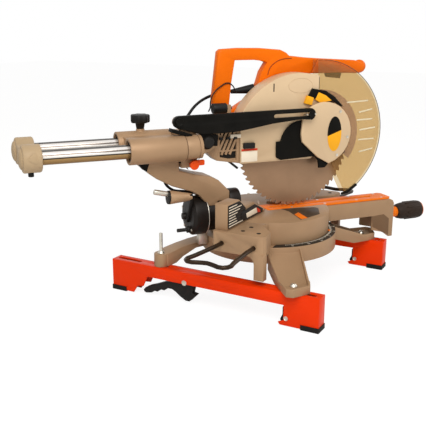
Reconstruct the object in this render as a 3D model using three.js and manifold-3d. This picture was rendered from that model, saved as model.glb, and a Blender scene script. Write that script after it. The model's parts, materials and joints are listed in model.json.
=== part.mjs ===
// Sliding compound miter saw, bolted on a pair of quick-mount stand brackets.
// Millimetres, +Z up. The saw is drawn square to its fence, and the group on its turntable is then
// turned to the miter angle.
import * as THREE from "three";
import { mergeVertices } from "three/addons/utils/BufferGeometryUtils.js";
import Module from "manifold-3d";

const wasm = await Module();
wasm.setup();

// Driving sizes
const bladeRadius = 152.4;
const bladeThickness = 2.6;
const bladeClear = 1.2;
const tableTop = 192;
const turntableRadius = 149;
const turntableHeight = 52.7;
const bearing = 1.2;
const ringRadius = 168;
const ringBottom = 100;
const fit = 0.3;
const runningGap = 0.4;
const overrun = 5;
const lap = 1;
const miterAngle = THREE.MathUtils.degToRad(51.7);
const kerfHalf = 4;
const armHalf = 30;
const armReach = 357;
const armTopDrop = 5;
const armDepth = 42;
const lockRise = 142;
const lockRodRadius = 5;
const gripRear = armReach + 28;
const gripFront = armReach + 107;

const bracketSpacing = 459.4;
const bracketWidth = 34.4;
const bracketHeight = 78;
const bracketFront = -235.5;
const bracketRear = 305.2;
const bracketClear = 2;
const frontLegDepth = 81.5;
const sheet = 3;
const beamDepth = 29;
const boltFrontY = -169;
const boltRearY = 172;
const boltRadius = 4;
const footFloor = 90;
const footBoss = 110;

const blockReach = 246;
const blockFront = -104;
const blockRear = 24;
const blockDepth = 47;
const wireRadius = 5;
const wireDrop = 27;
const wireRearY = 0;
const wireFrontY = -79;
const fenceFrontY = -7;
const fenceDepth = 31;
const fenceHeight = 57.7;
const fenceInner = 36;
const fenceOuter = 232;
const fenceSeat = 1;

const pivotBoss = 118;
const pivotRadius = 40;
const pivotDiscRadius = 47;
const pivotDiscFront = 177;
const pivotDiscRear = 216;
const pivotBoltRadius = 8;
const railSpacing = 103.4;
const railRadius = 15.5;
const railRise = 173.4;
const railEnd = 575;
const housingRear = 372;
const housingFront = 243.4;
const housingRadius = 29.6;
const blockFaceRear = 243;
const blockFaceFront = 204;

const arborReach = 66;
const chopSetback = 183;
const chopRise = 182;
const hubReach = 128;
const hubRise = 178;
const hubPinRadius = 8;
const linkRear = 254;
const linkFront = 79;
const linkRise = 235;
const linkNear = 56;
const linkFar = 46;
const clampSetback = 313;
const clampStem = 4;
const guardRadius = bladeRadius + 28.6;
const guardHalf = 14;
const blockHalf = 34;
const castingRadius = bladeRadius + 23.6;
const castingNear = 25;
const castingFar = 22;
const handleNear = 22.4;
const handleWidth = 24;
const cordRadius = 3.5;
const cordLength = 1130;
const leadRadius = 3.5;

// Places that several pieces share, in the square frame: x to the right, y to the rear
const arbor = { y: -arborReach, z: tableTop + bladeClear + bladeRadius };
const rail = { x: railSpacing / 2, z: tableTop + railRise };
const chop = { y: chopSetback, z: tableTop + chopRise };
const hub = { y: -hubReach, z: tableTop + hubRise };
const turntableBottom = tableTop - turntableHeight;
const ringTop = turntableBottom - fit;
const armTop = tableTop - armTopDrop;
const bracketX = bracketSpacing / 2;
const bracketTop = bracketHeight;
const wireZ = tableTop - wireDrop;
const footBottom = bracketHeight + fit;
const linkZ = tableTop + linkRise;
const barrelFront = turntableRadius + bearing + runningGap;
const leverPin = { y: 96, z: 54, radius: 5, head: 7, headDepth: 3 };
const scalePlate = 1.6;
const kerfPlate = { half: 27, rear: 15, front: armReach - 9 };
const clampBossRise = 34;
const railSocket = 12;
const clevis = { inner: 27, outer: 45, radius: 22, shaft: 9 };
const linkPin = 2.3;
const linkDrop = 3;
const guardBack = castingRadius - 85;
const gearFar = 62;
const motor = { y: -40, z: tableTop + 208, radius: 52 };
const depthLug = { y: 108, length: 10, z: tableTop + 252, stem: 4 };
const relief = { wide: [37, 30, tableTop + 291], narrow: [47, 86, tableTop + 285], radius: 12 };
const gripInset = 1.5;
const gripFar = handleNear + handleWidth - gripInset;
const triggerSize = {
  x: handleNear + handleWidth / 2,
  half: 6,
  front: -212,
  rear: -165,
  bottom: tableTop + 309.5,
  top: tableTop + 327,
  travel: 4,
};
const lockButtonSize = { y: -190, z: tableTop + 342, radius: 6, depth: 4, travel: 3, proud: 5.5 };
const leadEnd = { x: 10, y: 222, z: tableTop + 210 };

// Mains cord: its route by hand, from the gland on the ring to the coil on the floor
const cordPoints = [
  [92, 120, 118],
  [92, 120, 106],
  [92.2, 120.2, 94],
  [92.4, 120.5, 82],
  [92.7, 121, 70],
  [93.2, 121.7, 58],
  [94.2, 122.5, 46],
  [96, 123.5, 34.5],
  [99.2, 124.7, 24],
  [104.5, 126, 15.2],
  [112, 127.2, 9],
  [121, 128, 5.4],
  [131, 128.4, 3.9],
  [142, 128.5, 3.5],
  [153.5, 128.5, 3.5],
];
const cordRoute = new THREE.CatmullRomCurve3(
  cordPoints.map((p) => new THREE.Vector3(...p)),
  false,
  "centripetal",
);
const cordTurns = 1.875;
const coilPitch = 2 * cordRadius + 1.8;
const layerPitch = 2 * cordRadius + 0.9;
const coilTail = 34;
const coilLength = cordLength - cordRoute.getLength() - coilTail;
const coilMiddle =
  (coilLength + (Math.PI * coilPitch * cordTurns) / 2) / (Math.PI * (4 * cordTurns + 1));
const coilOuter = coilMiddle + (coilPitch * cordTurns) / 2;
const lastPoint = cordPoints[cordPoints.length - 1];
const coil = { pitch: coilPitch, outer: coilOuter, x: lastPoint[0] + 2 * fit, y: lastPoint[1] + coilOuter };

// Solids: three.js shapes, closed with faces out, for joining and cutting
function solid(geometry) {
  const bare = geometry.index ? geometry.toNonIndexed() : geometry.clone();
  bare.deleteAttribute("normal");
  bare.deleteAttribute("uv");
  const merged = mergeVertices(bare, 1e-4);
  const triVerts = new Uint32Array(merged.index.array);
  const made = (tris) =>
    new wasm.Manifold(
      new wasm.Mesh({ numProp: 3, vertProperties: merged.attributes.position.array, triVerts: tris }),
    );
  const first = made(triVerts);
  return first.volume() > 0 ? first : made(triVerts.reverse());
}

function shapeOf(points) {
  return new THREE.Shape(points.map(([a, b]) => new THREE.Vector2(a, b)));
}

function extruded(points, depth, round = 0) {
  const shape = points.isShape ? points : shapeOf(points);
  return new THREE.ExtrudeGeometry(shape, {
    depth: depth - 2 * round,
    bevelEnabled: round > 0,
    bevelThickness: round,
    bevelSize: round,
    bevelOffset: -round,
    bevelSegments: 2,
    curveSegments: 12,
  }).translate(0, 0, round);
}

// An outline in (y, z), drawn out along x
function alongX(points, x0, x1, round = 0) {
  const turn = new THREE.Matrix4().set(0, 0, 1, x0, 1, 0, 0, 0, 0, 1, 0, 0, 0, 0, 0, 1);
  return solid(extruded(points, x1 - x0, round).applyMatrix4(turn));
}

// An outline in (x, z), drawn out along y
function alongY(points, y0, y1, round = 0) {
  const turn = new THREE.Matrix4().set(1, 0, 0, 0, 0, 0, -1, y1, 0, 1, 0, 0, 0, 0, 0, 1);
  return solid(extruded(points, y1 - y0, round).applyMatrix4(turn));
}

// An outline in (x, y), drawn up along z
function alongZ(points, z0, z1, round = 0) {
  return solid(extruded(points, z1 - z0, round).translate(0, 0, z0));
}

function block(x0, x1, y0, y1, z0, z1) {
  const box = new THREE.BoxGeometry(x1 - x0, y1 - y0, z1 - z0);
  return solid(box.translate((x0 + x1) / 2, (y0 + y1) / 2, (z0 + z1) / 2));
}

const up = new THREE.Vector3(0, 1, 0);

function rod(from, to, radius, sides = 24, endRadius = radius) {
  const a = new THREE.Vector3(...from);
  const along = new THREE.Vector3(...to).sub(a);
  const bar = new THREE.CylinderGeometry(endRadius, radius, along.length(), sides);
  bar.translate(0, along.length() / 2, 0);
  bar.applyQuaternion(new THREE.Quaternion().setFromUnitVectors(up, along.clone().normalize()));
  return solid(bar.translate(a.x, a.y, a.z));
}

// A profile of (radius, distance) turned round an axis that starts at a point
function turned(profile, from, axis, sides = 32) {
  const wheel = new THREE.LatheGeometry(
    profile.map(([r, t]) => new THREE.Vector2(r, t)),
    sides,
  );
  wheel.applyQuaternion(new THREE.Quaternion().setFromUnitVectors(up, new THREE.Vector3(...axis)));
  return solid(wheel.translate(...from));
}

function ngon(sides, radius, turn = 0) {
  return Array.from({ length: sides }, (_, i) => {
    const angle = turn + (i / sides) * Math.PI * 2;
    return [radius * Math.cos(angle), radius * Math.sin(angle)];
  });
}

function tubeAlong(curve, radius, sides, steps) {
  const ring = shapeOf(ngon(sides, radius));
  return solid(new THREE.ExtrudeGeometry(ring, { steps, extrudePath: curve, bevelEnabled: false }));
}

function joined(...solids) {
  return solids.reduce((a, b) => a.add(b));
}

function geometryOf(made) {
  const mesh = made.getMesh();
  const geometry = new THREE.BufferGeometry();
  geometry.setAttribute("position", new THREE.BufferAttribute(Float32Array.from(mesh.vertProperties), 3));
  geometry.setIndex(new THREE.BufferAttribute(Uint32Array.from(mesh.triVerts), 1));
  return geometry;
}

// The same solid on the other side of the middle plane
function mirrored(made) {
  const geometry = geometryOf(made);
  geometry.scale(-1, 1, 1);
  geometry.index.array.reverse();
  return solid(geometry);
}

// Points given as shares of a width and a height, from a corner
function spread(shares, a0, b0, width, height) {
  return shares.map(([a, b]) => [a0 + a * width, b0 + b * height]);
}

function arc(centre, radius, fromDeg, toDeg, steps) {
  return Array.from({ length: steps + 1 }, (_, i) => {
    const angle = THREE.MathUtils.degToRad(fromDeg + ((toDeg - fromDeg) * i) / steps);
    return [centre[0] + radius * Math.cos(angle), centre[1] + radius * Math.sin(angle)];
  });
}

// Finishes
const paintedOrange = { color: 0xe8420b, roughness: 0.42, metalness: 0.1 };
const mouldedOrange = { color: 0xf26a10, roughness: 0.45, metalness: 0 };
const castSilver = { color: 0xb3a18d, roughness: 0.5, metalness: 0.35 };
const castDark = { color: 0x55534f, roughness: 0.55, metalness: 0.3 };
const creamPlastic = { color: 0xc9bda3, roughness: 0.5, metalness: 0 };
const blackPlastic = { color: 0x1b1b1b, roughness: 0.5, metalness: 0 };
const blackSteel = { color: 0x2c2622, roughness: 0.4, metalness: 0.6 };
const chrome = { color: 0xc9c6c0, roughness: 0.15, metalness: 1 };
const zinc = { color: 0xb9b4aa, roughness: 0.35, metalness: 0.9 };
const bladeSteel = { color: 0xa79a8c, roughness: 0.3, metalness: 0.8 };
const smokedClear = { color: 0xd2bd94, roughness: 0.2, metalness: 0, transparent: true, opacity: 0.6 };
const rubber = { color: 0x161616, roughness: 0.75, metalness: 0 };

function place(group, name, made, finish) {
  const mesh = new THREE.Mesh(geometryOf(made), new THREE.MeshStandardMaterial(finish));
  mesh.name = name;
  group.add(mesh);
}

// Stand bracket: a pressed steel channel, open below, with a leg at each end and slots in its top
function bracket(x) {
  const beam = bracketTop - beamDepth;
  const frontLeg = { nose: 13, noseTop: 14, noseTip: 8, heel: 4.5 };
  const rearLeg = { depth: 62, step: 12, stepHeight: 21, throat: 29 };
  const inner = bracketFront + frontLegDepth;
  const rearInner = bracketRear - rearLeg.depth;
  const side = [
    [bracketFront, bracketClear],
    [bracketFront, bracketTop],
    [bracketRear, bracketTop],
    [bracketRear, bracketClear],
    [rearInner, bracketClear],
    [rearInner - rearLeg.step, rearLeg.stepHeight],
    [rearInner - rearLeg.throat, rearLeg.stepHeight + bracketClear],
    [rearInner - rearLeg.throat - rearLeg.step, beam],
    [inner, beam],
    [inner, frontLeg.noseTop],
    [inner + frontLeg.nose, frontLeg.noseTip],
    [inner + frontLeg.nose - frontLeg.heel, bracketClear],
  ];
  const half = bracketWidth / 2;
  const slotHalf = boltRadius + 2 * fit;
  const frontSlot = { before: 54, after: 26 };
  const rearSlot = { before: 20, after: 10 };
  const tailSlot = { from: 57, to: 125 };
  const slots = [
    { from: boltFrontY - frontSlot.before, to: boltFrontY + frontSlot.after },
    { from: boltRearY - rearSlot.before, to: boltRearY + rearSlot.after },
    { from: boltRearY + tailSlot.from, to: boltRearY + tailSlot.to },
  ];
  const channel = alongX(side, x - half, x + half).subtract(
    block(
      x - half + sheet,
      x + half - sheet,
      bracketFront + sheet,
      bracketRear - sheet,
      -overrun,
      bracketTop - sheet,
    ),
  );
  const cuts = slots.map(({ from, to }) => {
    const ends = [
      ...arc([x, to - slotHalf], slotHalf, 0, 180, 6),
      ...arc([x, from + slotHalf], slotHalf, 180, 360, 6),
    ];
    return alongZ(ends, bracketTop - sheet - overrun, bracketTop + overrun);
  });
  const { y, z, radius, head, headDepth } = leverPin;
  const pinEnd = half + headDepth;
  return joined(
    channel.subtract(joined(...cuts)),
    rod([x - pinEnd, y, z], [x + pinEnd, y, z], radius, 16),
    rod([x - pinEnd, y, z], [x - half, y, z], head, 6),
    rod([x + half, y, z], [x + pinEnd, y, z], head, 6),
  );
}

// Quick-release lever: hangs on its pin inside the channel, with a cam hook below and a long curved grip
function lever(x) {
  const length = 150;
  const height = 64;
  const lowest = 3;
  const half = 8;
  const edge = 1.5;
  const outlineShares = [
    [0, 0.33],
    [0.08, 0.36],
    [0.05, 0.62],
    [0.08, 0.86],
    [0.15, 0.97],
    [0.24, 0.98],
    [0.34, 0.82],
    [0.48, 0.66],
    [0.63, 0.54],
    [0.77, 0.4],
    [0.89, 0.3],
    [0.96, 0.21],
    [1, 0.11],
    [0.985, 0.03],
    [0.95, 0],
    [0.9, 0.02],
    [0.84, 0.05],
    [0.79, 0.14],
    [0.73, 0.13],
    [0.67, 0.25],
    [0.6, 0.24],
    [0.53, 0.36],
    [0.45, 0.36],
    [0.38, 0.28],
    [0.3, 0.14],
    [0.2, 0.02],
    [0.13, 0.02],
  ];
  const { y, z, radius } = leverPin;
  const outline = spread(outlineShares, y - length / 6, lowest, length, height);
  return alongX(outline, x - half, x + half, edge).subtract(
    rod([x - half - overrun, y, z], [x + half + overrun, y, z], radius + fit, 16),
  );
}

// Black cap pushed over a bottom corner of the bracket, which stands on it
function footCap(x, end, towards) {
  const wall = 1.5;
  const length = 41;
  const height = 12;
  const floor = bracketClear - fit;
  const half = bracketWidth / 2;
  const span = (from, to) => [Math.min(from, to), Math.max(from, to)];
  const outer = span(end - towards * wall, end + towards * length);
  const gap = span(end - towards * fit, end + towards * (length + overrun));
  const plug = span(end + towards * (sheet + fit), end + towards * length);
  return block(x - half - wall, x + half + wall, ...outer, 0, height)
    .subtract(block(x - half - fit, x + half + fit, ...gap, floor, height + overrun))
    .add(block(x - half + sheet + fit, x + half - sheet - fit, ...plug, 0, height));
}

// Black hook saddle that lines the inner edge of the front leg
function saddle(x) {
  const edge = bracketFront + frontLegDepth;
  const proud = 3.5;
  const depth = 14;
  const top = 44;
  const shoulder = 26;
  const nose = { run: 9, z: 14 };
  const outline = [
    [edge - depth, bracketClear + sheet],
    [edge - depth, top],
    [edge + proud, top],
    [edge + proud, shoulder],
    [edge + nose.run, nose.z],
    [edge + proud, bracketClear + sheet],
  ];
  const half = bracketWidth / 2 - sheet - fit;
  return alongX(outline, x - half, x + half);
}

// Bolt through a foot and the bracket's top plate, with its nut below
function footBolt(x, y, seat) {
  const head = { radius: 9, rise: 6 };
  const nut = { radius: 8, depth: 7 };
  const tail = 5;
  const under = bracketTop - sheet - fit;
  return joined(
    rod([x, y, under - nut.depth - tail], [x, y, seat + head.rise], boltRadius, 12),
    rod([x, y, under - nut.depth], [x, y, under], nut.radius, 6),
    rod([x, y, seat + fit], [x, y, seat + head.rise], head.radius, 16, head.radius / 2),
  );
}

// At the rear the bolt stands tall above its nut
function rearBolt(x) {
  const stick = 49;
  return footBolt(x, boltRearY, footBoss).add(
    rod([x, boltRearY, footBoss + fit], [x, boltRearY, footBoss + stick], boltRadius, 12),
  );
}

// Cast base: a hollow ring under the turntable, a table block with its leg on each side, and four feet
function castBase() {
  const skin = 8;
  const pointerRoom = 7;
  const centreHole = 6;
  const blockLow = tableTop - blockDepth;
  const ring = rod([0, 0, ringBottom], [0, 0, ringTop], ringRadius, 72).subtract(
    rod([0, 0, ringBottom - overrun], [0, 0, ringTop - skin], ringRadius - skin, 48),
  );
  const half = joined(tableBlock(), frontFoot(), rearFoot());
  const well = rod([0, 0, ringTop], [0, 0, tableTop + overrun], turntableRadius + bearing, 96);
  const track = rod([0, 0, ringTop], [0, 0, blockLow], turntableRadius + pointerRoom, 64);
  const hole = rod([0, 0, ringBottom], [0, 0, ringTop + overrun], centreHole, 16);
  const boltHoles = [boltFrontY, boltRearY].flatMap((y) =>
    [-bracketX, bracketX].map((x) => rod([x, y, bracketTop], [x, y, ringTop], boltRadius + fit, 12)),
  );
  const faceRoom = 3.5;
  const seat = block(
    -blockReach - overrun,
    blockReach + overrun,
    fenceFrontY - faceRoom,
    blockRear + overrun,
    tableTop - fenceSeat,
    tableTop + overrun,
  );
  const cuts = joined(well, track, hole, seat, ...boltHoles);
  return joined(ring, half, mirrored(half), cordGland()).subtract(cuts);
}

function tableBlock() {
  const wall = 7;
  const low = tableTop - blockDepth;
  const corner = 13;
  const inner = 90;
  const slant = { x: blockReach - 48, y: -98, endX: blockReach - 86, endY: -64 };
  const outline = (inset) => [
    [-blockReach + inset, blockRear - corner / 3 - inset],
    [-blockReach + inset, blockFront + corner],
    [-blockReach + corner / 3 + inset, blockFront + corner / 3 + inset],
    [-blockReach + corner + inset, blockFront + inset],
    [-slant.x, slant.y + inset],
    [-slant.endX, slant.endY + inset],
    [-inner, slant.endY + inset],
    [-inner, blockRear - inset],
    [-blockReach + corner / 3 + inset, blockRear - inset],
  ];
  const table = alongZ(outline(0), low, tableTop).subtract(
    alongZ(outline(wall), low - overrun, tableTop - wall),
  );
  const band = rod([0, 0, ringTop - lap], [0, 0, tableTop], ringRadius, 72).intersect(
    block(-ringRadius - overrun, -inner, slant.endY, blockRear, ringBottom, tableTop),
  );
  const leg = { depth: 24, lift: 14, thick: 18, radius: 18, arch: 38 };
  const legRear = blockFront + leg.depth;
  const legFoot = bracketTop + leg.lift;
  const strut = alongX(
    [
      [blockFront, legFoot],
      [blockFront, low + wall],
      [legRear + leg.arch, low + wall],
      [legRear + leg.arch, low],
      ...arc([legRear + leg.radius, low - leg.radius], leg.radius, 90, 180, 5),
      [legRear, legFoot],
    ],
    -blockReach,
    -blockReach + leg.thick,
  );
  const guide = { length: 62, wall: 4 };
  const bars = (reach, radius) =>
    [wireRearY, wireFrontY].map((y) =>
      rod([-blockReach - reach, y, wireZ], [-blockReach + guide.length + reach, y, wireZ], radius, 16),
    );
  return joined(table, band, strut, ...bars(0, wireRadius + guide.wall)).subtract(
    joined(...bars(overrun, wireRadius + fit)),
  );
}

// Front foot: a sloping arm with a raised rim, from the ring to the bracket
function frontFoot() {
  const rim = { width: 7, height: 7 };
  const slope = { inset: 12, over: 60, high: 10, run: 24, low: 18, land: 18 };
  const skirt = { inset: 3, run: 50 };
  const planShares = [
    [0, 0],
    [0.31, 0.1],
    [1, 0.73],
    [0.98, 0.84],
    [0.7, 1],
    [0.53, 0.925],
    [-0.27, 0.4],
  ];
  const toe = 41.3;
  const corner = { x: -128, y: -66, height: -141 };
  const plan = spread(planShares, corner.x, corner.y, -bracketX - toe - corner.x, corner.height);
  const middle = { x: toe + 3.4 - bracketX, y: -140 };
  const inside = plan.map(([x, y]) => {
    const away = Math.hypot(x - middle.x, y - middle.y);
    const share = 1 - (rim.width * 1.2) / away;
    return [middle.x + (x - middle.x) * share, middle.y + (y - middle.y) * share];
  });
  const reach = Math.hypot(bracketX, boltFrontY);
  const along = Math.atan2(boltFrontY, -bracketX);
  const start = ringRadius - slope.inset;
  const end = reach + slope.over;
  const top = (raise) => [
    [start, footBottom],
    [start, ringTop - slope.high + raise],
    [start + slope.run, ringTop - slope.low + raise],
    [reach - slope.land, footFloor + raise],
    [end, footFloor + raise],
    [end, footBottom],
  ];
  const slice = (raise) => alongY(top(raise), -end, end).rotate([0, 0, THREE.MathUtils.radToDeg(along)]);
  const under = alongY(
    [
      [0, 0],
      [0, ringBottom],
      [ringRadius - skirt.inset, ringBottom],
      [reach - skirt.run, footBottom],
      [reach - skirt.run, 0],
    ],
    -end,
    end,
  ).rotate([0, 0, THREE.MathUtils.radToDeg(along)]);
  const floor = alongZ(plan, footBottom, ringTop).intersect(slice(0));
  const wall = alongZ(plan, footBottom, ringTop)
    .subtract(alongZ(inside, 0, ringTop + overrun))
    .intersect(slice(rim.height));
  return floor.add(wall).subtract(under);
}

// Rear foot: a low arm from the back of the ring to a round boss over the bracket
function rearFoot() {
  const planShares = [
    [0, 0.38],
    [0.31, 0.75],
    [0.54, 0.9],
    [0.77, 1],
    [1, 0.97],
    [1, 0.44],
    [0.65, 0.37],
    [0.43, 0.18],
    [0.26, 0],
  ];
  const bossRadius = 17;
  const corner = { x: -60, y: 124, height: 65 };
  const slope = { run: 60, high: 4, join: 8, under: 70 };
  const plan = spread(planShares, corner.x, corner.y, -bracketX - corner.x, corner.height);
  const outline = [
    [-bracketX - bossRadius, footBottom],
    [-bracketX - bossRadius, footBoss],
    [-bracketX + bossRadius, footBoss],
    [corner.x - slope.run, footBoss + slope.high],
    [corner.x, footBoss + slope.join],
    [corner.x, ringBottom],
    [corner.x - slope.under, ringBottom],
    [-bracketX + 2 * bossRadius, footBottom],
  ];
  const arm = alongZ(plan, footBottom, ringTop).intersect(alongY(outline, 0, 2 * boltRearY));
  const boss = rod([-bracketX, boltRearY, footBottom], [-bracketX, boltRearY, footBoss], bossRadius, 24);
  return arm.add(boss);
}

// Miter scale: a dark plate on the front of the base ring
function miterScale() {
  const inset = 1;
  const side = 80;
  const z0 = ringTop + fit;
  return rod([0, 0, z0], [0, 0, z0 + scalePlate], ringRadius - inset, 72)
    .subtract(rod([0, 0, 0], [0, 0, tableTop], turntableRadius + bearing, 72))
    .intersect(block(-ringRadius, ringRadius, -ringRadius, -side, 0, tableTop));
}

// Miter pointer: a small tab on the turntable's edge, left of the arm
function miterPointer() {
  const z0 = ringTop + fit + scalePlate + fit;
  const plate = 2;
  const half = 4;
  const length = 5;
  const angle = 36;
  const inner = -turntableRadius - fit;
  const tab = block(-half, half, inner - length, inner + fit, z0, z0 + plate);
  return tab.subtract(rod([0, 0, 0], [0, 0, tableTop], turntableRadius + fit, 96)).rotate([0, 0, -angle]);
}

// Fence: a tall plate beside the kerf that steps up outwards, hollow at the back
function fence() {
  const wall = 7;
  const width = fenceOuter - fenceInner;
  const stepShares = [
    [0, 0],
    [0, 1],
    [0.296, 1],
    [0.449, 0.6],
    [0.673, 0.63],
    [0.93, 0.1],
    [1, 0.1],
    [1, 0],
  ];
  const z0 = tableTop - fenceSeat + fit;
  const height = fenceHeight + fenceSeat;
  const outline = spread(stepShares, -fenceOuter, z0, width, height);
  const inner = spread(stepShares, -fenceOuter + wall, z0 - wall, width - 2 * wall, height);
  const overTurntable = rod([0, 0, ringTop], [0, 0, tableTop + fit], turntableRadius + bearing, 96);
  return alongY(outline, fenceFrontY, fenceFrontY + fenceDepth)
    .subtract(alongY(inner, fenceFrontY + wall, fenceFrontY + fenceDepth + overrun))
    .subtract(overTurntable);
}

// Face plate: a thin ribbed black plate on the outer end of the fence
function fenceFace() {
  const plate = 2;
  const length = 82;
  const margin = 3;
  const rib = { count: 8, proud: 0.8 };
  const x0 = -fenceOuter + margin;
  const z0 = tableTop + fit + margin;
  const height = fenceHeight - 2 * margin;
  const edgeShares = [
    [0, 0],
    [0, 1],
    [0.64, 1],
    [1, 0.58],
    [1, 0],
  ];
  const front = fenceFrontY - fit;
  const outline = spread(edgeShares, x0, z0, length, height);
  const pitch = height / rib.count;
  const ribs = Array.from({ length: rib.count }, (_, i) => {
    const low = z0 + pitch * (i + 1 / 4);
    return block(x0, x0 + length, front - plate - rib.proud, front - plate / 2, low, low + pitch / 2);
  });
  const bounds = alongY(outline, front - plate - rib.proud, front);
  return alongY(outline, front - plate, front).add(joined(...ribs).intersect(bounds));
}

// Extension wire: a bent rod whose two legs slide in the table block and splay a little outside it
function wire() {
  const engaged = 50;
  const straight = 22;
  const outer = 389;
  const bend = 13;
  const splay = 11.5;
  const bow = 11;
  const front = wireFrontY - splay;
  const rear = wireRearY + splay;
  const leg = (y, end) => [
    [engaged - blockReach, y],
    [-blockReach, y],
    [-blockReach - straight, y],
    [-outer + 3 * bend, (y + 2 * end) / 3],
    [-outer + bend, end],
  ];
  const middle = (front + rear) / 2;
  const points = [
    ...leg(wireFrontY, front),
    [-outer, front + bend],
    [-outer + bow / 2, (front + bend + middle) / 2],
    [-outer + bow, middle],
    [-outer + bow / 2, (rear - bend + middle) / 2],
    [-outer, rear - bend],
    ...leg(wireRearY, rear).reverse(),
  ].map(([x, y]) => new THREE.Vector3(x, y, wireZ));
  return tubeAlong(new THREE.CatmullRomCurve3(points, false, "centripetal"), wireRadius, 8, 44);
}

// Turntable: a hollow disc with the front arm, its drop bracket and the rear pivot boss
function turntable() {
  const skin = 8;
  const wall = 6;
  const spindleRadius = 30;
  const disc = rod([0, 0, turntableBottom], [0, 0, tableTop], turntableRadius, 96).subtract(
    rod([0, 0, turntableBottom - overrun], [0, 0, tableTop - 2 * skin], turntableRadius - skin, 64),
  );
  const spindle = rod([0, 0, turntableBottom], [0, 0, tableTop - skin], spindleRadius, 32);
  const root = 120;
  const drop = {
    rear: armReach - 67,
    step: armReach - 31,
    shin: armReach - 12,
    high: 107,
    mid: 98,
    low: 84,
  };
  const nose = 12;
  const outline = [
    [-root, armTop],
    [-root, armTop - armDepth],
    [-drop.rear, armTop - armDepth],
    [-drop.rear, drop.high],
    [-drop.step, drop.mid],
    [-drop.shin, drop.low],
    [-armReach, drop.low],
    [-armReach, armTop - nose],
    [-armReach + nose / 3, armTop - nose / 3],
    [-armReach + nose, armTop],
  ];
  const hollow = block(
    -armHalf + wall,
    armHalf - wall,
    -armReach + wall,
    -turntableRadius - wall,
    0,
    armTop - wall,
  );
  const arm = alongX(outline, -armHalf, armHalf).subtract(hollow);
  const rearFace = turntableRadius + bearing;
  const boss = rod([0, pivotBoss, tableTop], [0, rearFace, tableTop], pivotRadius - wall, 32);
  const { half, rear } = kerfPlate;
  const recess = block(-half - fit, half + fit, -2 * turntableRadius, rear + fit, armTop, tableTop + overrun);
  const boreRear = rearFace + overrun;
  const bore = rod([0, pivotBoss - wall, tableTop], [0, boreRear, tableTop], pivotBoltRadius + fit, 24);
  const lockEnds = [-armReach - overrun, -armReach + 2 * wall].map((y) => [0, y, lockRise]);
  const lockHole = rod(...lockEnds, lockRodRadius + fit);
  return joined(disc, spindle, arm, boss).subtract(joined(recess, bore, lockHole));
}

// Kerf plate: the orange insert along the table and arm, slotted for the blade
function kerfInsert() {
  const { half, rear, front } = kerfPlate;
  const slotEnd = armReach - 57;
  const nose = 7;
  const outline = [
    [-half, rear],
    [-half, -front + nose],
    [-half + nose, -front],
    [half - nose, -front],
    [half, -front + nose],
    [half, rear],
  ];
  return alongZ(outline, armTop + fit, tableTop).subtract(
    block(-kerfHalf, kerfHalf, -slotEnd, 0, armTop - overrun, tableTop + overrun),
  );
}

// Orange collar between the arm and the miter handle
function lockCollar() {
  const radius = 15;
  const taper = 1;
  const rear = -armReach - fit;
  const front = -gripRear + fit;
  return rod([0, rear, lockRise], [0, front, lockRise], radius, 24, radius - taper).subtract(
    rod([0, rear + overrun, lockRise], [0, front - overrun, lockRise], lockRodRadius + fit, 16),
  );
}

// Miter handle: a barrel grip on the rod that locks the turntable
function miterHandle() {
  const length = gripFront - gripRear;
  const radius = 24;
  const barrelShares = [
    [0, 0],
    [0.62, 0],
    [0.8, 0.05],
    [0.92, 0.2],
    [1, 0.5],
    [1, 0.86],
    [0.94, 0.95],
    [0.75, 1],
    [0, 1],
  ];
  const grip = turned(spread(barrelShares, 0, 0, radius, length), [0, -gripRear, lockRise], [0, -1, 0], 24);
  const tipGap = 3;
  const lockEnds = [-ringRadius - tipGap, -gripRear - overrun].map((y) => [0, y, lockRise]);
  return grip.add(rod(...lockEnds, lockRodRadius, 16));
}

// Bevel arm: the swan-necked casting with the twin rail housing on top
function bevelArm() {
  const neckFront = 120;
  const length = 216;
  const height = 158;
  const edge = 3;
  const web = { lead: 2, half: 20 };
  const clampBossRadius = 10;
  const lip = 6;
  const neckShares = [
    [1, 0.832],
    [0.838, 0.646],
    [0.667, 0.519],
    [0.444, 0.411],
    [0.356, 0.342],
    [0.269, 0.19],
    [0.269, 0.05],
    [0.141, 0.05],
    [0.141, 0.228],
    [0, 0.228],
    [0, 0.37],
    [0.056, 0.45],
    [0.13, 0.551],
    [0.222, 0.611],
    [0.398, 0.665],
    [0.583, 0.741],
    [0.583, 1],
    [1.02, 1],
  ];
  const neck = alongX(spread(neckShares, neckFront, tableTop, length, height), -armHalf, armHalf, edge);
  const tube = (x, from, to, radius) => rod([x, from, rail.z], [x, to, rail.z], radius, 40);
  const sides = [-rail.x, rail.x];
  const tubes = sides.map((x) => tube(x, housingFront, housingRear, housingRadius));
  const inset = 12;
  const bridge = block(
    -rail.x,
    rail.x,
    housingFront + web.lead,
    housingRear - inset,
    rail.z - web.half,
    rail.z + web.half,
  );
  const bossTop = rail.z + clampBossRise;
  const clampBoss = rod([rail.x, clampSetback, rail.z], [rail.x, clampSetback, bossTop], clampBossRadius, 20);
  const boreTop = bossTop + overrun;
  const clampBore = rod([rail.x, clampSetback, rail.z], [rail.x, clampSetback, boreTop], clampStem + fit);
  const bores = sides.flatMap((x) => [
    tube(x, housingFront - overrun, housingRear + overrun, railRadius + fit),
    tube(x, housingRear - inset, housingRear + overrun, housingRadius - lip),
  ]);
  const barrelSeat = rod([0, 0, tableTop], [0, housingRear, tableTop], pivotRadius + runningGap, 48);
  const seatFront = pivotDiscFront - fit;
  const discSeat = rod([0, seatFront, tableTop], [0, housingRear, tableTop], pivotDiscRadius + fit, 48);
  const seats = joined(barrelSeat, discSeat, clampBore, ...bores);
  return joined(neck, ...tubes, bridge, clampBoss).subtract(seats);
}

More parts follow.
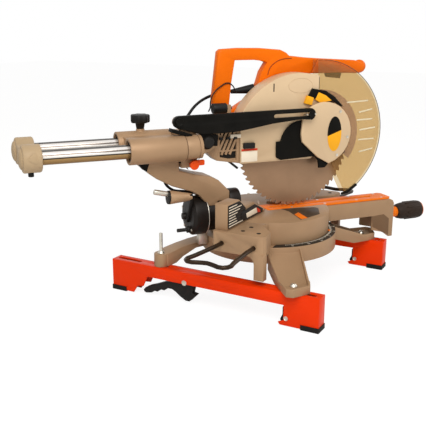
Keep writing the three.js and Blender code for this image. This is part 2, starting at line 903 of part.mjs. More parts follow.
// Pivot barrel with the bevel disc at its rear
function bevelBarrel() {
  const bore = pivotBoltRadius + fit;
  const length = pivotDiscRear - barrelFront;
  const disc = pivotDiscFront - barrelFront;
  const round = 7;
  const profile = [
    [bore, 0],
    [pivotRadius, 0],
    [pivotRadius, disc],
    [pivotDiscRadius, disc],
    [pivotDiscRadius, length - round],
    [pivotDiscRadius - round, length],
    [bore, length],
    [bore, 0],
  ];
  return turned(profile, [0, barrelFront, tableTop], [0, 1, 0], 40);
}

// Pivot bolt: the steel shaft of the bevel hinge, with its dark housing in front of the boss
function pivotBolt() {
  const nut = 14;
  const half = 26;
  const front = 86;
  const rise = 32;
  const edge = 5;
  const outline = [
    [-half, tableTop + fit],
    [half, tableTop + fit],
    ...arc([0, tableTop + rise], half, 0, 180, 12),
  ];
  return alongY(outline, front, pivotBoss - fit, edge).add(
    rod([0, front + nut, tableTop], [0, pivotDiscRear + fit + nut, tableTop], pivotBoltRadius, 20).subtract(
      block(-half, half, 0, pivotBoss - fit, 0, tableTop + fit),
    ),
  );
}

// Bevel lock handle: a crank plate on the pivot's rear end with a tapered grip pointing back
function bevelHandle() {
  const front = pivotDiscRear + fit;
  const thick = 7;
  const grip = { x: -30, rise: 53, length: 56, thin: 8, fat: 16, tip: 31, tipRadius: 7 };
  const z = tableTop + grip.rise;
  const hubRadius = 16;
  const crank = alongY(
    [
      ...arc([0, tableTop], hubRadius, 180, 370, 9),
      [grip.x + grip.thin, z + grip.thin],
      [grip.x - grip.thin, z + grip.thin],
      [grip.x - grip.thin, z - grip.thin],
    ],
    front,
    front + thick,
  );
  const bore = rod([0, 0, tableTop], [0, 2 * front, tableTop], pivotBoltRadius + fit, 20);
  const wide = front + grip.length;
  const climb = 4;
  return joined(
    crank,
    rod([grip.x, front + lap, z], [grip.x, wide, z + climb], grip.thin, 20, grip.fat),
    rod([grip.x, wide - lap, z + climb], [grip.x, wide + grip.tip, z + 3 * climb], grip.tipRadius, 16),
  ).subtract(bore);
}

// Detent pin: a small black pull pin below the pivot, on the bevel disc
function detentPin() {
  const pin = { x: -14, drop: 30, length: 32, radius: 4.5, collar: 8 };
  const z = tableTop - pin.drop;
  const front = pivotDiscRear + fit;
  return joined(
    rod([pin.x, front, z], [pin.x, front + pin.length, z], pin.radius, 12),
    rod([pin.x, front, z], [pin.x, front + pin.length / 4, z], pin.collar, 16),
  );
}

// Rail clamp knob: a lobed knob whose stem presses on the far rail
function railKnob() {
  const lobes = 7;
  const radius = 23;
  const depth = 19;
  const bossTop = rail.z + clampBossRise;
  const skirt = { height: 14, radius: 9 };
  const edge = 3;
  const low = bossTop + skirt.height;
  const high = low + depth;
  const flute = radius * 0.07;
  const outline = Array.from({ length: lobes * 6 }, (_, i) => {
    const angle = (i / (lobes * 6)) * Math.PI * 2;
    const r = radius - flute + flute * Math.cos(angle * lobes);
    return [rail.x + r * Math.cos(angle), clampSetback + r * Math.sin(angle)];
  });
  const upright = (from, to, ...sizes) =>
    rod([rail.x, clampSetback, from], [rail.x, clampSetback, to], ...sizes);
  return joined(
    upright(rail.z + railRadius + bearing, bossTop + lap, clampStem, 12),
    upright(bossTop + runningGap, low + lap, skirt.radius, 20, radius / 2),
    alongZ(outline, low, high, edge),
  );
}

function railRod(x) {
  return rod([x, blockFaceFront + railSocket, rail.z], [x, railEnd, rail.z], railRadius, 32);
}

// Rear cap: two discs in one moulding that ties the rails' ends
function rearCap() {
  const front = 559;
  const rear = 599;
  const radius = 30;
  const waist = 18;
  const edge = 4;
  const outline = [
    ...arc([rail.x, rail.z], radius, -140, 140, 14),
    [0, rail.z + waist],
    ...arc([-rail.x, rail.z], radius, 40, 320, 14),
    [0, rail.z - waist],
  ];
  const bores = [-rail.x, rail.x].map((x) =>
    rod([x, front - overrun, rail.z], [x, railEnd + fit, rail.z], railRadius + fit, 32),
  );
  return alongY(outline, front, rear, edge).subtract(joined(...bores));
}

// Front block: holds the rails' front ends, the clevis of the chop hinge and the stay of the link arm
function frontBlock() {
  const radius = 28.5;
  const lowRise = 124;
  const flank = 19;
  const lowZ = tableTop + lowRise;
  const outline = [
    ...arc([rail.x, rail.z], radius, -50, 90, 10),
    ...arc([-rail.x, rail.z], radius, 90, 230, 10),
    [-blockHalf, lowZ + flank],
    [-blockHalf, lowZ],
    [blockHalf, lowZ],
    [blockHalf, lowZ + flank],
  ];
  const body = alongY(outline, blockFaceFront, blockFaceRear);
  const earRoot = { sunk: 6, below: 12, above: 4 };
  const earBack = blockFaceFront + earRoot.sunk;
  const ear = [
    [earBack, chop.z - clevis.radius - earRoot.below],
    [earBack, chop.z + clevis.radius - earRoot.above],
    ...arc([chop.y, chop.z], clevis.radius, 60, 240, 10),
  ];
  const ears = [alongX(ear, -clevis.outer, -clevis.inner), alongX(ear, clevis.inner, clevis.outer)];
  const stayThick = 7;
  const step = 4;
  const swingGap = 3;
  const stayTop = rail.z + radius;
  const eye = 12;
  const pinRadius = 6;
  const cap = { rim: 3, thick: 3 };
  const stay = alongX(
    [
      [earBack, rail.z],
      [earBack, stayTop + step],
      ...arc([linkRear, linkZ - linkDrop], eye, 130, -20, 8),
      [blockFaceRear - step, stayTop],
      [blockFaceRear - step, rail.z],
    ],
    -clevis.outer,
    -clevis.outer + stayThick,
  );
  const pinZ = linkZ - linkDrop;
  const pin = (near, far, r) => rod([-near, linkRear, pinZ], [-far, linkRear, pinZ], r, 16);
  const swingEnds = [-clevis.inner, clevis.inner].map((x) => [x, chop.y, chop.z]);
  const swing = rod(...swingEnds, clevis.radius + swingGap, 32);
  const shaftBore = rod([-linkNear, chop.y, chop.z], [linkNear, chop.y, chop.z], clevis.shaft + fit, 20);
  const bores = [-rail.x, rail.x].map((x) =>
    rod([x, blockFaceFront + railSocket - fit, rail.z], [x, railEnd, rail.z], railRadius + fit, 32),
  );
  return joined(
    body,
    ...ears,
    stay,
    pin(linkNear + lap, clevis.outer - stayThick, pinRadius),
    pin(linkNear + cap.thick, linkNear + fit, pinRadius + cap.rim),
    leadGland(),
  ).subtract(joined(swing, shaftBore, ...bores));
}

// Gland on the block where the head's lead goes in
function leadGland() {
  const { x, y, z } = leadEnd;
  return rod([x, y, rail.z], [x, y, z], 2 * leadRadius, 16);
}

// Chop pivot shaft, with the round black cover on its near end
function pivotShaft() {
  const cover = 17;
  const dome = 5;
  const proud = 4;
  const near = -linkNear;
  const far = -clevis.outer - fit;
  const seat = clevis.outer + proud;
  return joined(
    rod([far - lap, chop.y, chop.z], [seat, chop.y, chop.z], clevis.shaft, 20),
    rod([near, chop.y, chop.z], [far, chop.y, chop.z], cover - dome, 32, cover),
  );
}

// Hold-down knob: the orange pull knob of the pin that locks the head down
function holdDown() {
  const y = 217;
  const rise = 132;
  const knob = { length: 15, radius: 11, waist: 9 };
  const stem = 4;
  const z = tableTop + rise;
  const seat = -blockHalf - fit;
  return joined(
    rod([seat - stem - knob.length, y, z], [seat - stem, y, z], knob.radius, 24, knob.waist),
    rod([seat - stem - lap, y, z], [seat, y, z], stem, 12),
  );
}

// Link arm: the long black arm with the slot that the guard's pin slides in
function linkArm() {
  const length = linkFront + linkRear;
  const end = 14;
  const slot = { half: 4.5, before: 6, behind: 98 };
  const edge = 1.5;
  const belly = 31;
  const pinRadius = 6;
  const lowShares = [
    [0.07, 0.36],
    [0.3, 0.55],
    [0.46, 0.8],
    [0.58, 0.97],
    [0.72, 1],
    [0.84, 0.98],
    [0.9, 0.8],
  ];
  const lower = lowShares.map(([a, b]) => [-linkFront + a * length, linkZ - b * belly]);
  const outline = [
    ...arc([-linkFront, linkZ], end, 90, 260, 10),
    ...lower,
    ...arc([linkRear, linkZ], end, -70, 90, 10),
  ];
  const cut = [
    ...arc([-linkFront - slot.before + slot.half, linkZ], slot.half, 90, 270, 6),
    ...arc([-linkFront + slot.behind - slot.half, linkZ], slot.half, -90, 90, 6),
  ];
  const near = -linkNear - overrun;
  const far = -linkFar + overrun;
  const tilt = THREE.MathUtils.radToDeg(Math.asin(linkDrop / length));
  return alongX(outline, -linkNear, -linkFar, edge)
    .subtract(alongX(cut, near, far))
    .subtract(rod([near, linkRear, linkZ], [far, linkRear, linkZ], pinRadius + fit, 16))
    .translate([0, -linkRear, -linkZ])
    .rotate([-tilt, 0, 0])
    .translate([0, linkRear, linkZ - linkDrop]);
}

// Head arm: from the chop pivot's hub to the back of the upper guard
function headArm() {
  const half = clevis.inner - fit;
  const web = { near: 21, far: 19, depth: 5 };
  const root = chop.y - clevis.radius / 2;
  const back = guardBack + runningGap;
  const topRise = 47;
  const lowDrop = 60;
  const taper = { top: 6, low: 10 };
  const margin = 8;
  const shoulder = root - clevis.radius;
  const top = chop.z + topRise;
  const low = chop.z - lowDrop;
  const outline = [
    [chop.y, chop.z + clevis.radius],
    [shoulder, top],
    [back, top + taper.top],
    [back, low],
    [shoulder, low + taper.low],
    [chop.y, chop.z - clevis.radius],
  ];
  const pocketOutline = [
    [shoulder - margin, top - margin],
    [back + margin, top + taper.top - margin],
    [back + margin, low + margin],
    [shoulder - margin, low + taper.low + margin],
  ];
  const pocket = alongX(pocketOutline, -web.near - overrun, web.depth - web.near).add(
    alongX(pocketOutline, web.far - web.depth, web.far + overrun),
  );
  const lug = depthLug;
  const lugHalf = 8;
  return joined(
    alongX(outline, -web.near, web.far).subtract(pocket),
    rod([-half, chop.y, chop.z], [half, chop.y, chop.z], clevis.radius, 32),
    block(-lugHalf, lugHalf, lug.y, lug.y + lug.length, top - overrun, lug.z + lugHalf),
  )
    .subtract(rod([-clevis.outer, chop.y, chop.z], [clevis.outer, chop.y, chop.z], clevis.shaft + fit, 20))
    .subtract(rod([0, lug.y - overrun, lug.z], [0, lug.y + 2 * lug.length, lug.z], lug.stem + fit, 12));
}

// Upper guard: a thin casting round the back and top of the blade, open below and in front
function upperGuard() {
  const wall = 3.5;
  const seam = -118;
  const rise = 121;
  const chin = { y: -100, lift: 17 };
  const low = tableTop + rise;
  const hood = (radius, back, front) => {
    const at = (y) => THREE.MathUtils.radToDeg(Math.acos((y - arbor.y) / radius));
    return arc([arbor.y, arbor.z], radius, at(back), at(front), 22);
  };
  const shell = alongX(
    [...hood(castingRadius, guardBack, seam), [seam, low + chin.lift], [chin.y, low], [guardBack, low]],
    -castingNear,
    castingFar,
  );
  const open = seam - overrun;
  const under = low - overrun;
  const hollow = alongX(
    [...hood(castingRadius - wall, guardBack - wall, open), [open, under], [guardBack - wall, under]],
    wall - castingNear,
    castingFar - wall,
  );
  const hole = 17;
  return shell
    .subtract(hollow)
    .subtract(rod([-2 * castingNear, arbor.y, arbor.z], [2 * castingFar, arbor.y, arbor.z], hole, 24));
}

// Arbor cover: the black plate over the blade's bolt, with a square tail
function arborCover() {
  const middle = { y: -72, rise: 158 };
  const radius = 60;
  const thick = 5.5;
  const edge = 1;
  const centre = { y: middle.y, z: tableTop + middle.rise };
  const tailShares = [
    [-1.27, -0.87],
    [-1.12, -1.03],
    [-0.82, -1.03],
    [-0.78, -0.73],
    [-0.63, -0.55],
    [-0.49, -0.52],
    [0.96, -0.57],
    [1.13, -0.48],
    [1.17, -0.4],
    [1.17, 0.18],
  ];
  const tail = tailShares.map(([a, b]) => [centre.y + a * radius, centre.z + b * radius]);
  const outline = [...arc([centre.y, centre.z], radius, 11, 205, 16), ...tail];
  const far = -castingNear - fit;
  return alongX(outline, far - thick, far, edge).subtract(
    rod([far - 2 * thick, hub.y, hub.z], [0, hub.y, hub.z], hubPinRadius + fit, 20),
  );
}

// Guard cover: the silver plate on the hub, with the hub pin and the pin that the link arm's slot takes
function guardCover() {
  const radius = 77;
  const far = -31.1;
  const near = -38;
  const lift = 5;
  const edge = 1.5;
  const sunk = 3;
  const washer = { radius: 7, thick: 3 };
  const centre = { y: hub.y, z: hub.z + lift };
  const tailShares = [
    [-0.25, -1],
    [0.2, -0.75],
    [0.78, -0.23],
    [0.82, 0.03],
  ];
  const tail = tailShares.map(([a, b]) => [centre.y + a * radius, centre.z + b * radius]);
  const plate = alongX([...arc([centre.y, centre.z], radius, 40, 255, 18), ...tail], near, far, edge);
  const hubPin = rod([near, hub.y, hub.z], [sunk - guardHalf, hub.y, hub.z], hubPinRadius, 20);
  const at = (x) => [x, -linkFront, linkZ];
  const face = -linkNear - fit;
  return joined(
    plate,
    hubPin,
    rod(at(near + edge), at(face - lap), linkPin, 10),
    rod(at(face), at(face - washer.thick), washer.radius, 16),
  );
}

// Gearbox: the drum on the far side of the guard, rising to the motor's nose
function gearbox() {
  const near = castingFar + fit;
  const neckNear = handleNear + handleWidth + bearing;
  const radius = 52;
  const step = 4;
  const drum = rod([near, arbor.y, arbor.z], [gearFar, arbor.y, arbor.z], radius, 40);
  const neck = rod([neckNear, motor.y, motor.z], [gearFar, motor.y, motor.z], motor.radius - step, 40);
  return drum.add(neck);
}

// Motor housing: a drum with air slots in its end
function motorHousing() {
  const near = gearFar + fit;
  const length = 128;
  const { y, z, radius } = motor;
  const round = 8;
  const profile = [
    [0, 0],
    [radius - round / 2, 0],
    [radius, round / 2],
    [radius, length - round],
    [radius - round, length],
    [0, length],
  ];
  const slots = 5;
  const slot = { width: 3.5, depth: 4 };
  const cuts = Array.from({ length: slots }, (_, i) => {
    const high = z + (i - (slots - 1) / 2) * 3 * slot.width;
    const reach = radius / 2;
    const end = near + length;
    const half = slot.width / 2;
    return block(end - slot.depth, end + overrun, y - reach, y + reach, high - half, high + half);
  });
  return turned(profile, [near, y, z], [1, 0, 0], 40).subtract(joined(...cuts));
}

// Carry handle: a closed loop over the guard, beside it and running forward to the front grip
function carryHandle() {
  const rise = 223;
  const edge = 5;
  const low = tableTop + rise;
  const length = 282;
  const height = 165;
  const rear = 142;
  const outerShares = [
    [0, 0.23],
    [0.02, 0.52],
    [0.05, 0.95],
    [0.075, 0.985],
    [0.23, 1],
    [0.44, 0.995],
    [0.628, 0.968],
    [0.688, 0.924],
    [0.716, 0.88],
    [0.872, 0.85],
    [1, 0.834],
    [0.93, 0.605],
    [0.58, 0.6],
    [0.61, 0.3],
    [0.44, 0.15],
    [0.28, 0.02],
    [0.16, 0],
    [0.05, 0.12],
  ];
  const innerShares = [
    [0.199, 0.83],
    [0.376, 0.83],
    [0.47, 0.81],
    [0.5, 0.79],
    [0.45, 0.66],
    [0.42, 0.5],
    [0.408, 0.46],
    [0.408, 0.3],
    [0.29, 0.24],
    [0.17, 0.12],
    [0.145, 0.15],
    [0.167, 0.51],
  ];
  const flip = (shares) => shares.map(([a, b]) => [rear - a * length, low + b * height]);
  const x0 = handleNear;
  const x1 = handleNear + handleWidth;
  const opening = alongX(flip(innerShares), x0 - overrun, x1 + overrun);
  return alongX(flip(outerShares), x0, x1, edge).subtract(opening);
}

// Front grip: goes on from the carry handle, with pockets for the trigger and the button
function frontGrip() {
  const seamTop = 140.5;
  const length = 137;
  const rise = 321;
  const height = 40;
  const edge = 5;
  const low = tableTop + rise;
  const gripShares = [
    [0, 0.985],
    [0.14, 0.96],
    [0.78, 0.83],
    [0.945, 0.67],
    [1, 0.39],
    [0.945, 0.08],
    [0.83, 0.01],
    [0.4, 0.06],
    [-0.14, 0.07],
  ];
  const outline = gripShares.map(([a, b]) => [-seamTop - a * length, low + b * height]);
  const { x, half, front, rear, bottom, top, travel } = triggerSize;
  const button = lockButtonSize;
  const pocket = block(x - half - fit, x + half + fit, front - fit, rear + fit, bottom, top + travel + fit);
  const bore = rod(
    [gripFar - button.depth - button.travel - fit, button.y, button.z],
    [gripFar + overrun, button.y, button.z],
    button.radius + fit,
    16,
  );
  return alongX(outline, handleNear + gripInset, gripFar, edge).subtract(pocket.add(bore));
}

// Trigger: rises into its pocket under the grip
function trigger() {
  const { x, half, front, rear, bottom, top } = triggerSize;
  const nose = 13;
  const rise = 4;
  const edge = 1;
  const outline = [
    [rear, top],
    [front, top],
    [front, bottom + nose],
    [front + rise, bottom],
    [front + nose, bottom + edge],
    [rear - nose / 2, bottom + rise],
  ];
  return alongX(outline, x - half, x + half, edge);
}

// Lock-off button: stands out of the grip's far side
function lockButton() {
  const { y, z, radius, depth, proud } = lockButtonSize;
  return rod([gripFar - depth, y, z], [gripFar + proud, y, z], radius, 16);
}

// Depth stop knob on the head arm's lug
function depthKnob() {
  const { y, z, length } = depthLug;
  const start = y + length + fit;
  const knob = { radius: 12, length: 34 };
  const tip = 4;
  return joined(
    rod([0, y - tip, z], [0, start + lap, z], depthLug.stem, 12),
    rod([0, start, z], [0, start + knob.length, z], knob.radius, 12),
  );
}

// Strain relief: the tapered sleeve where the lead leaves the handle
function strainRelief() {
  return rod(relief.wide, relief.narrow, relief.radius, 20, relief.radius * 0.4);
}

// Lead from the strain relief behind the handle's post and down to the front block
function headLead() {
  const [x, y, z] = relief.narrow;
  const points = [
    [x + 1, y + 1.2, z],
    [x + 4, y + 6, z - 0.5],
    [x + 6, y + 16, z - 2],
    [x + 6, y + 32, z - 5],
    [x + 5.5, y + 50, z - 9],
    [x - 2, y + 68, z - 14],
    [x - 15, y + 88, z - 21],
    [x - 27, y + 107, z - 32],
    [x - 34, y + 122, z - 47],
    [leadEnd.x, leadEnd.y, leadEnd.z + 12],
    [leadEnd.x, leadEnd.y, leadEnd.z + fit],
  ];
  return tubeAlong(smooth(points), leadRadius, 8, 32);
}

// Lead on the far side of the arm, from the neck down to the turntable
function armLead() {
  const reach = armHalf + 8;
  const side = armHalf + fit;
  const points = [
    [side, 262, tableTop + 82],
    [side + 4, 261, tableTop + 79],
    [reach, 254, tableTop + 68],
    [reach, 238, tableTop + 56],
    [reach, 205, tableTop + 50],
    [reach, 172, tableTop + 40],
    [reach, 146, tableTop + 26],
    [reach, 129, tableTop + 13],
    [reach, 127, tableTop + 6],
    [reach, 127, tableTop + 2 * fit],
  ];
  return tubeAlong(smooth(points), leadRadius, 8, 28);
}

function smooth(points) {
  return new THREE.CatmullRomCurve3(points.map((p) => new THREE.Vector3(...p)), false, "centripetal");
}

// Lower guard: two clear plates and their rim, pivoted on the hub pin
function lowerGuard() {
  const thick = 2.5;
  const rim = 2.5;
  const from = 87;
  const to = 242;
  const rimTo = 240;
  const boss = 18;
  const open = 88;
  const sector = (inner, outer, x0, x1, end = to) => {
    const outside = arc([hub.y, hub.z], outer, from, end, 28);
    const inside = inner > 0 ? arc([hub.y, hub.z], inner, end, from, 16) : [[hub.y, hub.z]];
    return alongX([...outside, ...inside], x0, x1);
  };
  const near = sector(0, guardRadius, -guardHalf, thick - guardHalf);
  const far = sector(open, guardRadius, guardHalf - thick, guardHalf);
  const edge = sector(guardRadius - rim, guardRadius, -guardHalf, guardHalf, rimTo);
  const pin = (radius, spare) =>
    rod([-guardHalf - spare, hub.y, hub.z], [thick - guardHalf + spare, hub.y, hub.z], radius, 24);
  return joined(near, far, edge, pin(boss, 0)).subtract(pin(hubPinRadius + fit, 1));
}

function sawBlade() {
  const teeth = 60;
  const gullet = 7;
  const back = 1.5;
  const bore = 12;
  const rim = Array.from({ length: teeth }, (_, i) => {
    const step = 360 / teeth;
    const at = (share, radius) => arc([arbor.y, arbor.z], radius, -(i + share) * step, 0, 1)[0];
    const root = bladeRadius - gullet;
    return [at(0, bladeRadius), at(0.35, bladeRadius - back), at(0.75, root), at(0.97, root)];
  }).flat();
  const half = bladeThickness / 2;
  return alongX(rim, -half, half).subtract(
    rod([-overrun, arbor.y, arbor.z], [overrun, arbor.y, arbor.z], bore + fit, 32),
  );
}

// Arbor: the shaft with its two flanges and the blade bolt
function arborShaft() {
  const shaft = 12;
  const flange = { radius: 25, thick: 4.5 };
  const head = { radius: 10, thick: 9 };
  const inner = bladeThickness / 2 + fit;
  const outer = inner + flange.thick;
  const at = (x) => [x, arbor.y, arbor.z];
  return joined(
    rod(at(-outer), at(castingFar), shaft, 24),
    rod(at(-outer), at(-inner), flange.radius, 24),
    rod(at(inner), at(outer), flange.radius, 24),
    rod(at(-outer - head.thick), at(-outer), head.radius, 6),
  );
}

// Gland under the base's deck, where the mains cord comes out
function cordGland() {
  const gland = { root: 9, tip: 7 };
  const [x, y, z] = cordPoints[0];
  return rod([x, y, ringTop - lap], [x, y, z + fit], gland.root, 20, gland.tip);
}

// Mains cord: straight out of the gland, down to the floor and along it to the coil
function mainsCord() {
  return tubeAlong(cordRoute, cordRadius, 8, 48);
}

// Coil: in and out again at a steady rate in two layers, with a climb in the half turn between them
function coilPoints() {
  const steps = 24;
  const perLayer = cordTurns;
  const total = (2 * perLayer + 1 / 2) * steps;
  const points = [];
  for (let i = 0; i <= total; i += 1) {
    const turn = i / steps;
    const climb = THREE.MathUtils.clamp((turn - perLayer) * 2, 0, 1);
    const wound = Math.min(turn, perLayer) - Math.max(turn - perLayer - 1 / 2, 0);
    const radius = coil.outer - wound * coil.pitch;
    const angle = turn * 2 * Math.PI - Math.PI / 2;
    points.push(
      new THREE.Vector3(
        coil.x + radius * Math.cos(angle),
        coil.y + radius * Math.sin(angle),
        cordRadius + climb * layerPitch,
      ),
    );
  }
  const end = points[points.length - 1];
  const tailSteps = 4;
  for (let i = 1; i <= tailSteps; i += 1) {
    points.push(new THREE.Vector3(end.x, end.y + (coilTail * i) / tailSteps, end.z));
  }
  return points;
}

function leastGap(points) {
  const skip = 12;
  let least = Infinity;
  points.forEach((a, i) => {
    for (let j = i + skip; j < points.length; j += 1) least = Math.min(least, a.distanceTo(points[j]));
  });
  return least - 2 * cordRadius;
}

function cordCoil() {
  const points = coilPoints();
  console.log("coil: least gap to itself", leastGap(points).toFixed(2), "mm");
  const curve = new THREE.CatmullRomCurve3(points, false, "centripetal");
  return tubeAlong(curve, cordRadius, 6, points.length - 1);
}

// Plug: a moulded body with a tapered neck and three pins
function plug() {
  const points = coilPoints();
  const end = points[points.length - 1];
  const body = { radius: 10.5, neck: 13, flare: 7, length: 38 };
  const sleeve = { tip: 5, root: 6 };
  const profile = [
    [0, 0],
    [sleeve.tip, 0],
    [sleeve.root, body.neck],
    [body.radius, body.neck + body.flare],
    [body.radius, body.length],
    [0, body.length],
  ];
  const from = [end.x, end.y + fit, end.z];
  const face = end.y + fit + body.length;
  const pin = { length: 17, apart: 6.3, half: 0.8, wide: 3.2, round: 2.4, rise: 7 };
  const flat = (side) =>
    block(
      end.x + side * pin.apart - pin.half,
      end.x + side * pin.apart + pin.half,
      face - lap,
      face + pin.length,
      end.z - pin.wide,
      end.z + pin.wide,
    );
  const groundEnds = [face - lap, face + pin.length].map((y) => [end.x, y, end.z + pin.rise]);
  const ground = rod(...groundEnds, pin.round, 10);
  return joined(turned(profile, from, [0, 1, 0], 24), flat(-1), flat(1), ground);
}

const part = new THREE.Group();
const base = new THREE.Group();
const saw = new THREE.Group();
saw.rotation.z = miterAngle;
part.add(base, saw);

for (const [side, sign] of [["left", -1], ["right", 1]]) {
  const x = sign * bracketX;
  place(base, `${side}_bracket`, bracket(x), paintedOrange);
  place(base, `${side}_front_cap`, footCap(x, bracketFront, 1), rubber);
  place(base, `${side}_rear_cap`, footCap(x, bracketRear, -1), rubber);
  place(base, `${side}_saddle`, saddle(x), rubber);
  place(base, `${side}_lever`, lever(x), blackPlastic);
  place(base, `front_${side}_bolt`, footBolt(x, boltFrontY, footFloor), zinc);
  place(base, `rear_${side}_bolt`, rearBolt(x), zinc);
  place(base, `${side}_fence`, sign < 0 ? fence() : mirrored(fence()), castSilver);
  place(base, `${side}_wire`, sign < 0 ? wire() : mirrored(wire()), blackSteel);
}
place(base, "base", castBase(), castSilver);
place(base, "miter_scale", miterScale(), castDark);
place(base, "left_fence_face", fenceFace(), blackPlastic);

place(saw, "turntable", turntable(), castSilver);
place(saw, "kerf_plate", kerfInsert(), mouldedOrange);
place(saw, "miter_pointer", miterPointer(), mouldedOrange);
place(saw, "lock_collar", lockCollar(), mouldedOrange);
place(saw, "miter_handle", miterHandle(), blackPlastic);
place(saw, "bevel_pivot_bolt", pivotBolt(), castDark);
place(saw, "bevel_arm", bevelArm(), castSilver);
place(saw, "bevel_barrel", bevelBarrel(), castDark);
place(saw, "bevel_handle", bevelHandle(), zinc);
place(saw, "bevel_detent_pin", detentPin(), blackPlastic);
place(saw, "rail_knob", railKnob(), blackPlastic);
place(saw, "arm_lead", armLead(), rubber);
place(saw, "left_rail", railRod(-rail.x), chrome);
place(saw, "right_rail", railRod(rail.x), chrome);
place(saw, "rear_cap", rearCap(), creamPlastic);
place(saw, "front_block", frontBlock(), castSilver);
place(saw, "pivot_shaft", pivotShaft(), castDark);
place(saw, "hold_down_knob", holdDown(), mouldedOrange);
place(saw, "link_arm", linkArm(), blackSteel);
place(saw, "head_arm", headArm(), castSilver);
place(saw, "upper_guard", upperGuard(), castSilver);
place(saw, "arbor_cover", arborCover(), blackPlastic);
place(saw, "guard_cover", guardCover(), castSilver);
place(saw, "gearbox", gearbox(), castSilver);
place(saw, "motor_housing", motorHousing(), mouldedOrange);
place(saw, "carry_handle", carryHandle(), mouldedOrange);
place(saw, "front_grip", frontGrip(), mouldedOrange);
place(saw, "trigger", trigger(), blackPlastic);
place(saw, "lock_button", lockButton(), blackPlastic);
place(saw, "depth_knob", depthKnob(), blackPlastic);
place(saw, "strain_relief", strainRelief(), rubber);
place(saw, "head_lead", headLead(), rubber);
place(saw, "lower_guard", lowerGuard(), smokedClear);
place(saw, "blade", sawBlade(), bladeSteel);
place(saw, "arbor", arborShaft(), castDark);

// The part stands with the middle of its footprint, cord left out, on the origin
part.updateMatrixWorld(true);
const bounds = new THREE.Box3().setFromObject(part, true);
const shift = { x: -(bounds.min.x + bounds.max.x) / 2, y: -(bounds.min.y + bounds.max.y) / 2 };

place(base, "mains_cord", mainsCord(), rubber);
place(base, "cord_coil", cordCoil(), rubber);
place(base, "plug", plug(), rubber);
part.position.set(shift.x, shift.y, 0);
part.updateMatrixWorld(true);

export default part;
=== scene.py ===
import json
import math

import bpy
from mathutils import Matrix, Vector

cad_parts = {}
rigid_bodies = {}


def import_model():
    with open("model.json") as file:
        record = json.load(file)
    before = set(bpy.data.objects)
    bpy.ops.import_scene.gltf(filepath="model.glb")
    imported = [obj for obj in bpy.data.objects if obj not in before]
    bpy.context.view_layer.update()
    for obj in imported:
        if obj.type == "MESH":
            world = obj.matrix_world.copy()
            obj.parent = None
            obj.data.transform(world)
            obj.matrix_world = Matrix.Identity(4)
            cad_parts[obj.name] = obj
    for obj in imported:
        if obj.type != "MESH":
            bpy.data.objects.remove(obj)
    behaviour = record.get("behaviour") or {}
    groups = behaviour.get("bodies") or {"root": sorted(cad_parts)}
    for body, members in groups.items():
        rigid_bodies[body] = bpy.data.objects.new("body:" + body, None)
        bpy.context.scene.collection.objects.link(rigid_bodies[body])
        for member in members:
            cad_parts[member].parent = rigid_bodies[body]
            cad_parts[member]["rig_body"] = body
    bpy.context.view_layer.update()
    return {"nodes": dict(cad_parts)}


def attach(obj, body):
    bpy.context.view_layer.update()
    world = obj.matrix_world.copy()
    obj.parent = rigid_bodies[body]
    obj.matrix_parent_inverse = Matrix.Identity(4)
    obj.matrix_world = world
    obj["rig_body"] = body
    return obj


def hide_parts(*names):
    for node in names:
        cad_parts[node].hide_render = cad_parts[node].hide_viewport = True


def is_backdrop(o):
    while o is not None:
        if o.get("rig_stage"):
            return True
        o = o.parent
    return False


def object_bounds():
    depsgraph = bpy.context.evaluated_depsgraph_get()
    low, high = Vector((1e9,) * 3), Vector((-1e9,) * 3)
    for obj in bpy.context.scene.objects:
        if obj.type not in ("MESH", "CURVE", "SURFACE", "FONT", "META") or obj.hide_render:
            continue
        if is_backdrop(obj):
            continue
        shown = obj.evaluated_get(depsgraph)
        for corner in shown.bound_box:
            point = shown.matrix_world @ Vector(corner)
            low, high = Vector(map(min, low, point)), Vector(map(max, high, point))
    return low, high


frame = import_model()

# Camera: a long lens at the stand's left front, a little higher than the saw's top. A small shift
# sets the saw as high in the frame as the photograph has it.
camera_place = (-1.48388, -0.78121, 0.637)
camera_aim = Vector((0.8393, 0.4755, -0.2637))
bpy.ops.object.camera_add(location=camera_place)
camera = bpy.context.object
camera.rotation_euler = camera_aim.to_track_quat("-Z", "Y").to_euler()
camera.data.lens = 59.24
camera.data.shift_y = 0.0035
camera.data.clip_end = 30
bpy.context.scene.camera = camera

# Mains cord: a round black rubber lead. It leaves a gland under the base's deck, drops to the
# floor behind the base and is wound there in a two layer coil, with its moulded plug beside it.
base_place = Matrix.Translation((0.0630474, -0.0654351, 0))


